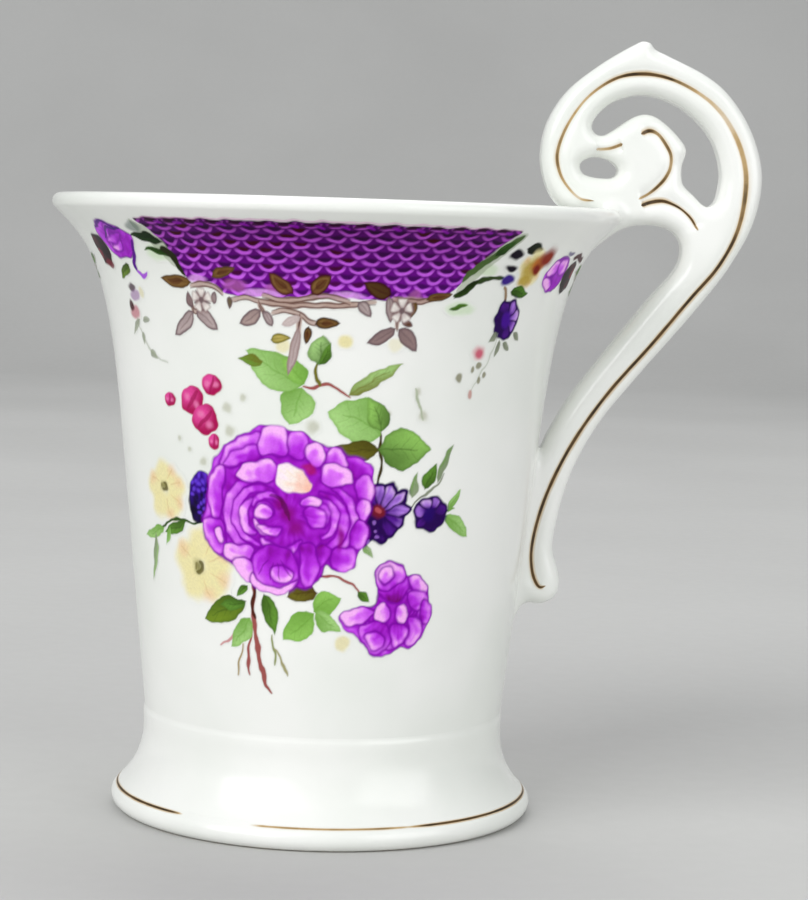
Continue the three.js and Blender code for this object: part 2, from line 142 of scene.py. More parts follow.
BOSS_LINE = [
    (40.2, 92.6, 0.8, 1.2), (41.4, 93.1, 0.75, 1.3), (42.5, 92.7, 0.45, 1.1), (43.6, 91.4, 0.65, 1.1),
    (44.4, 89.9, 0.5, 1.1), (44.4, 88.3, 0.45, 1.1), (43.8, 86.9, 0.6, 1.1), (42.8, 85.7, 0.7, 1.0),
    (41.5, 84.6, 0.5, 0.9), (40.2, 83.9, 0.3, 0.9),
]
ARM_LINE = [(34.3, 90.4, 0.25, 1.0), (36.2, 90.6, 0.45, 1.0), (37.8, 91.2, 0.6, 1.0)]
BRIDGE_LINE = [
    (40.6, 83.1, 1.0, 1.1), (42.0, 83.6, 1.0, 1.2), (43.5, 83.8, 0.95, 1.1), (44.9, 83.4, 0.8, 0.8),
    (46.2, 82.7, 0.8, 0.7), (47.5, 81.5, 0.85, 0.7), (48.4, 80.0, 0.5, 0.7),
]
GILT_WIDTH = 1.25
GILT_TAPER = 30
GILT_GROOVE = 0.45
GROOVE_WIDTH = 1.0
GROOVE_TAPER = 12

# Section of a gilt stroke: place across it, lift off the glaze and share of the gilding that is left there
GILT_SECTION = [
    (-1.2, -0.03, 0), (-0.95, 0.008, 0), (-0.7, 0.018, 0.15), (-0.34, 0.028, 0.3), (-0.16, 0.03, 1),
    (0.22, 0.03, 1), (0.42, 0.025, 0.25), (0.95, 0.008, 0), (1.2, -0.03, 0), (0, -0.1, 0),
]

# Gilt line round the foot: degrees from the front and how much of the gilding is left
FOOT_GILT_WIDTH = 0.95
FOOT_GILT = [
    (-180, 0.8), (-120, 0.6), (-60, 1), (-44, 0.9), (-39, 0), (-19, 0), (-15, 0.4), (18, 0.5), (24, 0.25),
    (31, 0.9), (70, 1), (112, 0.5), (124, 0.1), (140, 0.6), (180, 0.8),
]

# Print: the grid that it is painted on, the brush, and the radii that its motifs are laid out on
PRINT_STEP = 0.122
PRINT_BOTTOM = 18.5
PRINT_TOP = 79.9
PRINT_LIFT = 0.03
SOFT_EDGE = 0.2
EDGE_WIDTH = 0.26
EDGE_STRENGTH = 0.8
WANDER = 0.13
FOLD_DEPTH = 0.42
STREAK_TONE = 0.05
BLOTCH_TONE = 0.06
PANEL_RADIUS = 33.3
SPRAY_RADIUS = 27.8

# Where the print is cut into films: least cover, heights, and degrees from the front
LEAST_COVER = 0.02
GARLAND_LOW = 57
GARLAND_RIGHT = 31.5
GARLAND_LEFT = -46
PANEL_RIGHT = 40.5
PANEL_RIGHT_LOW = 68
PANEL_LOW = 66.4
PANEL_SIDE = 24

# Stage: lamps as name, place and size in metres and power in watts; the backdrop in millimetres
LAMPS = [
    ("key", (-0.85, -0.95, 0.85), 1.1, 16.5),
    ("fill", (0.9, -0.8, 0.5), 1.0, 6.5),
    ("top", (0.1, 0.5, 1.1), 0.8, 6),
]
LAMP_TARGET = (0, 0, 0.05)
SKY_COLOUR = (0.8, 0.82, 0.85, 1)
SKY_STRENGTH = 0.42
BACKDROP_REACH = 1600
BACKDROP_START = 960
BACKDROP_BEND = 500
BACKDROP_RISE = 1500


def spline(points, closed=False, steps=8):
    """Smooth curve through points of any number of columns, with its speed evened out (centripetal)."""
    points = np.asarray(points, float)
    if closed:
        ring = np.vstack([points[-1:], points, points[:2]])
    else:
        ring = np.vstack([2 * points[0] - points[1], points, 2 * points[-1] - points[-2]])
    curve = []
    for a, b, c, d in zip(ring, ring[1:], ring[2:], ring[3:]):
        gaps = [max(np.linalg.norm(q[:2] - p[:2]), 1e-6) for p, q in ((a, b), (b, c), (c, d))]
        knots = np.cumsum([0, *np.sqrt(gaps)])
        for t in np.linspace(knots[1], knots[2], steps, endpoint=False):
            ab, bc, cd = (
                p + (q - p) * (t - start) / (end - start)
                for p, q, start, end in zip((a, b, c), (b, c, d), knots, knots[1:])
            )
            abc = ab + (bc - ab) * (t - knots[0]) / (knots[2] - knots[0])
            bcd = bc + (cd - bc) * (t - knots[1]) / (knots[3] - knots[1])
            curve.append(abc + (bcd - abc) * (t - knots[1]) / (knots[2] - knots[1]))
    return np.array(curve if closed else curve + [points[-1]])


def bezier(a, b, c, d, steps):
    t = np.linspace(0, 1, steps + 1)[:, None]
    a, b, c, d = (np.asarray(p, float) for p in (a, b, c, d))
    return a * (1 - t) ** 3 + 3 * b * t * (1 - t) ** 2 + 3 * c * t**2 * (1 - t) + d * t**3


def arc(centre, radius, start, end, steps):
    angles = np.radians(np.linspace(start, end, steps + 1))
    return np.asarray(centre) + radius * np.stack([np.cos(angles), np.sin(angles)], 1)


def offset(line, distance):
    """The line moved to its right."""
    along = np.gradient(line, axis=0)
    along /= np.linalg.norm(along, axis=1, keepdims=True)
    return line + distance * np.stack([along[:, 1], -along[:, 0]], 1)


def smooth(t):
    t = np.clip(t, 0, 1)
    return t * t * (3 - 2 * t)


def nearest_on(line, x, y):
    """Distance from each point to a line, and how far along the line the nearest place is, from 0 to 1."""
    best = np.full(x.shape, np.inf)
    along = np.zeros(x.shape)
    for i, ((ax, ay), (bx, by)) in enumerate(zip(line, line[1:])):
        ex, ey = bx - ax, by - ay
        t = np.clip(((x - ax) * ex + (y - ay) * ey) / max(ex * ex + ey * ey, 1e-12), 0, 1)
        gap = (x - ax - t * ex) ** 2 + (y - ay - t * ey) ** 2
        along = np.where(gap < best, (i + t) / (len(line) - 1), along)
        best = np.minimum(best, gap)
    return np.sqrt(best), along


def signed_distance(outline, x, y):
    """Distance from each point to a closed outline, negative inside."""
    gap, _ = nearest_on(np.vstack([outline, outline[:1]]), x, y)
    inside = np.zeros(x.shape, bool)
    for (ax, ay), (bx, by) in zip(outline, np.roll(outline, -1, axis=0)):
        crosses = (ay > y) != (by > y)
        inside ^= crosses & (x < ax + (y - ay) * (bx - ax) / (by - ay if by != ay else 1))
    return np.where(inside, -gap, gap)


class Raster:
    """A function of two lengths, worked out on a grid and read between its points."""

    def __init__(self, low, high, function):
        self.low = np.asarray(low, float)
        count = np.ceil((np.asarray(high) - self.low) / RASTER_STEP).astype(int) + 1
        x, y = (start + RASTER_STEP * np.arange(n) for start, n in zip(low, count))
        self.values = function(*np.meshgrid(x, y, indexing="ij"))

    def __call__(self, x, y):
        u, v = (x - self.low[0]) / RASTER_STEP, (y - self.low[1]) / RASTER_STEP
        i = np.clip(np.floor(u).astype(int), 0, self.values.shape[0] - 2)
        j = np.clip(np.floor(v).astype(int), 0, self.values.shape[1] - 2)
        u, v = np.clip(u - i, 0, 1), np.clip(v - j, 0, 1)
        low = self.values[i, j] * (1 - u) + self.values[i + 1, j] * u
        high = self.values[i, j + 1] * (1 - u) + self.values[i + 1, j + 1] * u
        return low * (1 - v) + high * v


# Camera

def make_camera():
    data = bpy.data.cameras.new("camera")
    data.sensor_width = SENSOR_WIDTH
    data.lens = FOCAL_PIXELS * SENSOR_WIDTH / LONG_SIDE_PIXELS
    data.clip_start = MM * CLIP_START
    camera = bpy.data.objects.new("camera", data)
    turn = Matrix.Rotation(math.radians(-CAMERA_YAW), 4, "Z")
    tip = Matrix.Rotation(math.radians(90 + CAMERA_PITCH), 4, "X")
    roll = Matrix.Rotation(math.radians(CAMERA_ROLL), 4, "Z")
    camera.matrix_world = Matrix.Translation([MM * c for c in CAMERA_PLACE]) @ turn @ tip @ roll
    bpy.context.scene.collection.objects.link(camera)
    bpy.context.scene.camera = camera


# Materials

def linear(*channels):
    """Linear colour from channels of 0 to 255 as a screen shows them."""
    c = np.array(channels) / 255
    return np.where(c <= 0.04045, c / 12.92, ((c + 0.055) / 1.055) ** 2.4)


GLAZE_LIGHT = linear(243, 244, 240)
GLAZE_SHADE = linear(234, 237, 231)
CLAY_LIGHT = linear(226, 221, 208)
CLAY_DARK = linear(205, 197, 180)
GILT_TAN = linear(196, 166, 116)
GILT_DARK = linear(52, 36, 12)
GILT_BROWN = linear(92, 66, 30)
FLOOR_LIGHT = linear(194, 194, 192)
FLOOR_SHADE = linear(188, 188, 186)


class Nodes:
    """Short hand for building one material's nodes."""

    def __init__(self, name):
        self.material = bpy.data.materials.new(name)
        self.material.use_nodes = True
        self.tree = self.material.node_tree
        self.shader = self.tree.nodes["Principled BSDF"]

    def add(self, kind, **settings):
        node = self.tree.nodes.new(kind)
        for name, value in settings.items():
            setattr(node, name, value)
        return node

    def link(self, start, end):
        self.tree.links.new(start, end)

    def noise(self, scale, detail=2.0):
        """Noise in the object's own space, so many cells to the metre."""
        place = self.add("ShaderNodeTexCoord")
        node = self.add("ShaderNodeTexNoise")
        node.inputs["Scale"].default_value = scale
        node.inputs["Detail"].default_value = detail
        self.link(place.outputs["Object"], node.inputs["Vector"])
        return node.outputs["Fac"]

    def ramp(self, value, low, high, start=0.0, end=1.0):
        node = self.add("ShaderNodeMapRange", interpolation_type="SMOOTHSTEP")
        for name, number in (("From Min", low), ("From Max", high), ("To Min", start), ("To Max", end)):
            node.inputs[name].default_value = number
        self.link(value, node.inputs["Value"])
        return node.outputs["Result"]

    def mix(self, share, a, b):
        node = self.add("ShaderNodeMix", data_type="RGBA")
        self.link(share, node.inputs["Factor"])
        for socket, colour in ((node.inputs[6], a), (node.inputs[7], b)):
            if isinstance(colour, bpy.types.NodeSocket):
                self.link(colour, socket)
            else:
                socket.default_value = (*colour, 1)
        return node.outputs[2]

    def math(self, operation, a, b):
        node = self.add("ShaderNodeMath", operation=operation)
        for socket, value in zip(node.inputs, (a, b)):
            if isinstance(value, bpy.types.NodeSocket):
                self.link(value, socket)
            else:
                socket.default_value = value
        return node.outputs[0]

    def glaze(self):
        """White glaze with a faint cloudy tone and a wavy gloss. Returns its colour and roughness."""
        cloud = self.ramp(self.noise(38, 3), 0.35, 0.7)
        colour = self.mix(cloud, GLAZE_LIGHT, GLAZE_SHADE)
        bump = self.add("ShaderNodeBump")
        bump.inputs["Strength"].default_value = 0.05
        bump.inputs["Distance"].default_value = 0.0004
        self.link(self.noise(240, 2), bump.inputs["Height"])
        self.link(bump.outputs["Normal"], self.shader.inputs["Normal"])
        self.shader.inputs["IOR"].default_value = 1.5
        return colour, self.ramp(self.noise(90, 2), 0.3, 0.7, 0.16, 0.24)

    def finish(self, colour, roughness):
        self.link(colour, self.shader.inputs["Base Color"])
        self.link(roughness, self.shader.inputs["Roughness"])
        return self.material


def porcelain_material():
    nodes = Nodes("porcelain")
    return nodes.finish(*nodes.glaze())


def foot_material():
    """Glaze, wiped off the ring that the foot stands on."""
    nodes = Nodes("foot_porcelain")
    colour, roughness = nodes.glaze()
    place = nodes.add("ShaderNodeTexCoord")
    height = nodes.add("ShaderNodeSeparateXYZ")
    nodes.link(place.outputs["Object"], height.inputs[0])
    wobble = nodes.math("MULTIPLY", nodes.noise(160, 3), 0.0004)
    bare = nodes.ramp(nodes.math("ADD", height.outputs["Z"], wobble), 0.00042, 0.0003)
    grit = nodes.mix(nodes.ramp(nodes.noise(2600, 3), 0.35, 0.65), CLAY_LIGHT, CLAY_DARK)
    colour = nodes.mix(bare, colour, grit)
    rough = nodes.math("MAXIMUM", roughness, nodes.math("MULTIPLY", bare, 0.75))
    return nodes.finish(colour, rough)


def gilding_material():
    """Old gilding: a dark brown-gold line with tan edges, rubbed to the glaze where little is left."""
    nodes = Nodes("gilding")
    colour, roughness = nodes.glaze()
    left = nodes.add("ShaderNodeAttribute", attribute_name="gilt").outputs["Fac"]
    gilt = nodes.math("MULTIPLY", left, nodes.ramp(nodes.noise(450, 3), 0.3, 0.7, 0.85, 1.1))
    line = nodes.ramp(gilt, 0.25, 0.8)
    tan = nodes.mix(nodes.ramp(gilt, 0.0, 0.4), colour, GILT_TAN)
    tone = nodes.mix(nodes.ramp(nodes.noise(300, 3), 0.35, 0.65), GILT_DARK, GILT_BROWN)
    nodes.link(nodes.math("MULTIPLY", line, 0.25), nodes.shader.inputs["Metallic"])
    rough = nodes.math("ADD", roughness, nodes.math("MULTIPLY", line, 0.15))
    return nodes.finish(nodes.mix(line, tan, tone), rough)


def enamel_material():
    """Printed enamel over the glaze: its colour and cover are painted on the mesh."""
    nodes = Nodes("enamel")
    colour, roughness = nodes.glaze()
    ink = nodes.add("ShaderNodeAttribute", attribute_name="ink")
    grain = nodes.ramp(nodes.noise(3200, 2), 0.3, 0.7, 0, 0.08)
    tone = nodes.mix(grain, ink.outputs["Color"], MAROON)
    cover = ink.outputs["Alpha"]
    rough = nodes.math("ADD", roughness, nodes.math("MULTIPLY", cover, 0.1))
    gloss = nodes.math("SUBTRACT", 0.5, nodes.math("MULTIPLY", cover, 0.42))
    nodes.link(gloss, nodes.shader.inputs["Specular IOR Level"])
    return nodes.finish(nodes.mix(cover, colour, tone), rough)


def backdrop_material():
    nodes = Nodes("backdrop")
    tone = nodes.mix(nodes.ramp(nodes.noise(6, 4), 0.3, 0.7), FLOOR_SHADE, FLOOR_LIGHT)
    return nodes.finish(tone, nodes.ramp(nodes.noise(300, 2), 0.3, 0.7, 0.75, 0.9))


# Meshes

def add_piece(name, vertices, faces, material, slot, *nodes):
    """Smooth mesh, made in millimetres, that stands for CAD nodes."""
    name += "_surface"
    mesh = bpy.data.meshes.new(name)
    mesh.from_pydata((np.asarray(vertices) * MM).tolist(), [], [list(face) for face in faces])
    mesh.validate()
    mesh.shade_smooth()
    mesh.materials.append(material)
    piece = bpy.data.objects.new(name, mesh)
    bpy.context.scene.collection.objects.link(piece)
    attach(piece, "root")
    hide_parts(*nodes)
    return piece


def turned(radius, angle, height):
    """Points at angles from the front, round the cup's axis."""
    return np.stack(np.broadcast_arrays(radius * np.sin(angle), -radius * np.cos(angle), height), 1)


def lathe(profile, segments=TURN_SEGMENTS):
    """Vertices and faces of a profile of radius and height turned about Z, closed on the axis."""
    angles = np.linspace(0, 2 * np.pi, segments, endpoint=False)
    rings = [turned(r, angles, z) if r > 1e-6 else np.array([[0, 0, z]]) for r, z in profile]
    starts = np.cumsum([0] + [len(ring) for ring in rings])
    here = np.arange(segments)
    after = np.roll(here, -1)
    faces = []
    for low, high, start, end in zip(rings, rings[1:], starts, starts[1:]):
        if len(low) == 1:
            faces += zip(np.full(segments, start), end + after, end + here)
        elif len(high) == 1:
            faces += zip(start + here, start + after, np.full(segments, end))
        else:
            faces += zip(start + here, start + after, end + after, end + here)
    return np.vstack(rings), faces


def outer_wall():
    """Outside of the beaker from the seam to the lip: a straight taper, then a flare that leans out."""
    base = np.array([BASE_RADIUS, SEAM_HEIGHT + SEAM_EDGE])
    flare_start = np.array([FLARE_START_RADIUS, RIM_HEIGHT - FLARE_HEIGHT])
    taper = (flare_start - base) / np.linalg.norm(flare_start - base)
    flare_end = arc(LIP_CENTRE, WALL / 2, -LIP_LEAN, -LIP_LEAN, 1)[0]
    lean = np.array([math.sin(math.radians(LIP_LEAN)), math.cos(math.radians(LIP_LEAN))])
    pulls = flare_start + FLARE_PULL * taper, flare_end - LIP_PULL * lean
    flare = bezier(flare_start, *pulls, flare_end, 48)
    return np.vstack([np.linspace(base, flare_start, 24, endpoint=False), flare])


OUTER_WALL = outer_wall()


def wall_radius(height):
    return np.interp(height, OUTER_WALL[:, 1], OUTER_WALL[:, 0])


def beaker_profile(depth=RIM_HEIGHT - SEAM_HEIGHT - FLOOR):
    """Section of the beaker, hollow to a depth below its rim."""
    inside = offset(OUTER_WALL, -WALL)[::-1]
    floor_top = RIM_HEIGHT - depth
    corner_height = floor_top + FLOOR_CORNER
    inside = inside[inside[:, 1] > corner_height + 0.2]
    corner = (wall_radius(corner_height) - WALL - FLOOR_CORNER, corner_height)
    seam = (BASE_RADIUS - SEAM_EDGE, SEAM_HEIGHT + SEAM_EDGE)
    return np.vstack([
        (0, SEAM_HEIGHT),
        arc(seam, SEAM_EDGE, -90, 0, 6)[:-1],
        OUTER_WALL[:-1],
        arc(LIP_CENTRE, WALL / 2, -LIP_LEAN, 180 - LIP_LEAN, 20),
        inside[1:],
        arc(corner, FLOOR_CORNER, 0, -90, 14),
        (0, floor_top),
    ])


def seam_bead(height):
    """Soft shoulder round the cup where the beaker was set on its foot."""
    far = (height - SEAM_HEIGHT) / np.where(height > SEAM_HEIGHT, SEAM_FEATHER / 2, SEAM_SPREAD)
    return SEAM_BEAD * np.exp(-far * far)


def foot_cove():
    low = arc(BEAD_CENTRE, BEAD_RADIUS, BEAD_TOP_ANGLE, BEAD_TOP_ANGLE, 1)[0]
    high = np.array([BASE_RADIUS, FOOT_HEIGHT - SEAM_EDGE])
    spread = np.array([-1, 1]) * math.sqrt(0.5)
    cove = bezier(low, low + COVE_LOW_PULL * spread, high - (0, COVE_HIGH_PULL), high, 40)
    cove[:, 0] += seam_bead(cove[:, 1])
    return cove


FOOT_COVE = foot_cove()


def foot_profile():
    """Section of the hollow foot, with a thin feather from its neck over the seam and up the wall."""
    hollow = offset(FOOT_COVE, -FOOT_WALL)[::-1]
    inner_edge = BEAD_CENTRE[0] - STANDING_RING
    rise = np.linspace(0, 1, 13)[1:]
    height = FOOT_HEIGHT - SEAM_EDGE + rise * (SEAM_HEIGHT + SEAM_FEATHER - FOOT_HEIGHT + SEAM_EDGE)
    feather = wall_radius(height) + seam_bead(height) - FEATHER_SINK * rise
    return np.vstack([
        arc((inner_edge + STANDING_EDGE, STANDING_EDGE), STANDING_EDGE, -180, -90, 5),
        arc(BEAD_CENTRE, BEAD_RADIUS, -90, BEAD_TOP_ANGLE, 20),
        FOOT_COVE[1:],
        np.stack([feather, height], 1),
        (BASE_RADIUS - SEAM_EDGE, SEAM_HEIGHT + SEAM_FEATHER),
        (BASE_RADIUS - FOOT_WALL, SEAM_HEIGHT + SEAM_EDGE),
        hollow[(hollow[:, 1] > BEAD_RADIUS) & (hollow[:, 1] < FOOT_HEIGHT)],
        (inner_edge, STANDING_EDGE),
    ])


# Handle

def round_and(a, b, radius):
    """Where two shapes overlap, with a rounded edge."""
    edge = np.hypot(np.maximum(a + radius, 0), np.maximum(b + radius, 0))
    return np.minimum(-radius, np.maximum(a, b)) + edge


def soft_min(a, b, reach):
    """Two shapes together, with a fillet between them."""
    near = np.maximum(reach - np.abs(a - b), 0) / reach
    return np.minimum(a, b) - near * near * reach / 4


def handle_outline(x, z):
    solid = signed_distance(spline(HANDLE_OUTLINE, closed=True), x, z)
    for hole in (CRESCENT, EYE, FINGER_GAP):
        solid = np.maximum(solid, -signed_distance(spline(hole, closed=True), x, z))
    return solid


def handle_half_depth(x, z):
    """Half of the handle's depth, less the grooves that the gilt lines lie in."""
    depth = np.full(x.shape, HANDLE_DEPTH / 2)
    for line in (SPINE_LINE, BOSS_LINE, ARM_LINE, BRIDGE_LINE):
        gap, along = nearest_on(spline(line)[:, :2], x, z)
        ends = smooth(np.minimum(along, 1 - along) * GROOVE_TAPER)
        depth -= GILT_GROOVE * ends * np.exp(-((gap / GROOVE_WIDTH) ** 2))
    return depth


def make_handle_field():
    flat = Raster(RASTER_LOW, RASTER_HIGH, handle_outline)
    depth = Raster(RASTER_LOW, RASTER_HIGH, handle_half_depth)
    beaker = beaker_profile(RIM_HOLLOW)
    wall = Raster(WALL_RASTER_LOW, RASTER_HIGH, lambda r, z: signed_distance(beaker, r, z))

    def field(x, y, z):
        """Roughly the distance to the handle with its fillets on the beaker, negative inside."""
        limb = round_and(flat(x, z), np.abs(y) - depth(x, z), HANDLE_EDGE)
        body = wall(np.hypot(x, y), z)
        fillet = np.interp(z, *zip(*FILLETS))
        joined = soft_min(limb, body + SKIN, fillet)
        return np.maximum.reduce([joined, -body - SKIRT_DEPTH, limb - SKIRT_REACH])

    return field


def surface_net(field, low, high, step):
    """Closed mesh of quads where a field of three lengths is zero."""
    axes = [np.arange(start, end, step) for start, end in zip(low, high)]
    values = field(*np.meshgrid(*axes, indexing="ij"))
    inside = values < 0
    corners = np.array([(i, j, k) for i in (0, 1) for j in (0, 1) for k in (0, 1)])
    size = np.array(values.shape) - 1
    count = sum(inside[i:i + size[0], j:j + size[1], k:k + size[2]].astype(int) for i, j, k in corners)
    cells = np.argwhere((count > 0) & (count < 8))
    total = np.zeros(cells.shape)
    crossings = np.zeros(len(cells))
    for a in corners:
        for b in corners[(corners - a).sum(1) == 1]:
            if np.abs(b - a).sum() != 1:
                continue
            start, end = values[tuple((cells + a).T)], values[tuple((cells + b).T)]
            cut = (start < 0) != (end < 0)
            share = np.where(cut, start / np.where(cut, start - end, 1), 0)
            total += cut[:, None] * (a + share[:, None] * (b - a))
            crossings += cut
    points = np.asarray(low) + step * (cells + total / crossings[:, None])
    number = np.full(size, -1)
    number[tuple(cells.T)] = np.arange(len(cells))
    faces = []
    for axis in range(3):
        one, two = np.eye(3, dtype=int)[[(axis + 1) % 3, (axis + 2) % 3]]
        ahead = np.roll(inside, -1, axis)
        edges = np.argwhere(inside != ahead)
        edges = edges[((edges > 0) & (edges < size)).all(1)]
        around = [number[tuple((edges - back).T)] for back in (one + two, two, 0 * one, one)]
        quads = np.stack(around, 1)
        leaving = inside[tuple(edges.T)]
        faces.append(np.where(leaving[:, None], quads, quads[:, ::-1]))
    faces = np.vstack(faces)
    return points, faces[(faces >= 0).all(1)]


def settle(points, field, rounds=3, probe=0.04):
    """Points moved onto the surface where the field is zero."""
    for _ in range(rounds):
        ways = probe * np.eye(3)
        slope = np.stack([field(*(points + d).T) - field(*(points - d).T) for d in ways], 1) / (2 * probe)
        move = field(*points.T)[:, None] * slope / np.maximum((slope**2).sum(1, keepdims=True), 0.3)
        points = points - np.clip(move, -NET_STEP / 2, NET_STEP / 2)
    return points


def face_of(field, x, z, rounds=24):
    """The y of the handle's front face."""
    low, high = np.full(x.shape, -HANDLE_DEPTH), np.zeros(x.shape)
    for _ in range(rounds):
        middle = (low + high) / 2
        out = field(x, middle, z) > 0
        low, high = np.where(out, middle, low), np.where(out, high, middle)
    return high


# Gilding

def ribbon(rings, closed=False):
    """Faces of a tube whose section is repeated along it."""
    here = np.arange(rings - (0 if closed else 1))
    after = (here + 1) % rings
    width = len(GILT_SECTION)
    faces = []
    for i in range(width):
        j = (i + 1) % width
        faces += zip(here * width + i, here * width + j, after * width + j, after * width + i)
    if not closed:
        faces += [list(range(width))[::-1], [(rings - 1) * width + i for i in range(width)]]
    return faces


def gilt_line(field, points):
    """Gilt stroke on the handle's front: vertices, faces and how much gilding is left at each vertex."""
    line = spline(points, steps=10)
    flat, left, wide = line[:, :2], line[:, 2], line[:, 3]
    square = offset(flat, 1.0) - flat
    run = np.linspace(0, 1, len(line))
    half = GILT_WIDTH / 2 * wide * np.sqrt(smooth(np.minimum(run, 1 - run) * GILT_TAPER + 0.03))
    vertices = []
    for across, lift, _ in GILT_SECTION:
        edge = flat + square * (across * half)[:, None]
        y = face_of(field, edge[:, 0], edge[:, 1]) - lift
        vertices.append(np.stack([edge[:, 0], y, edge[:, 1]], 1))
    return np.stack(vertices, 1).reshape(-1, 3), ribbon(len(line)), gilt_shares(left)


def gilt_shares(left):
    """How much gilding is left at each vertex of a stroke, from how much is left along it."""
    return np.outer(left, [share for _, _, share in GILT_SECTION]).ravel()


def add_gilding(name, parts, material):
    """One piece of gilding from several strokes."""
    vertices, faces, left = [], [], []
    start = 0
    for points, quads, strength in parts:
        vertices.append(points)
        faces += [[int(i) + start for i in face] for face in quads]
        left.append(strength)
        start += len(points)
    piece = add_piece(name, np.vstack(vertices), faces, material, "gilding", name)
    piece.data.attributes.new("gilt", "FLOAT", "POINT").data.foreach_set("value", np.concatenate(left))


def mirrored(part):
    points, faces, left = part
    return points * (1, -1, 1), [face[::-1] for face in map(list, faces)], left


def add_handle_gilding(field, material):
    lines = {"spine": [SPINE_LINE], "boss": [BOSS_LINE, ARM_LINE], "bridge": [BRIDGE_LINE]}
    for name, strokes in lines.items():
        front = [gilt_line(field, stroke) for stroke in strokes]
        add_gilding(f"{name}_gilt_front", front, material)
        add_gilding(f"{name}_gilt_back", [mirrored(part) for part in front], material)


def add_foot_gilding(material):
    """Line round the foot, where the cove leaves the bead, rubbed away in places."""
    angle = np.arange(-180, 180)
    left = np.interp(angle, *zip(*FOOT_GILT))
    start, along = FOOT_COVE[0], FOOT_COVE[1] - FOOT_COVE[0]
    along = along / np.linalg.norm(along)
    out = np.array([along[1], -along[0]])
    vertices = []
    for across, lift, _ in GILT_SECTION:
        r, z = start + along * FOOT_GILT_WIDTH * (across + 0.4) / 2 + out * lift
        vertices.append(turned(r, np.radians(angle), z))
    part = np.stack(vertices, 1).reshape(-1, 3), ribbon(len(angle), closed=True), gilt_shares(left)
    add_gilding("foot_gilt_line", [part], material)


# Print

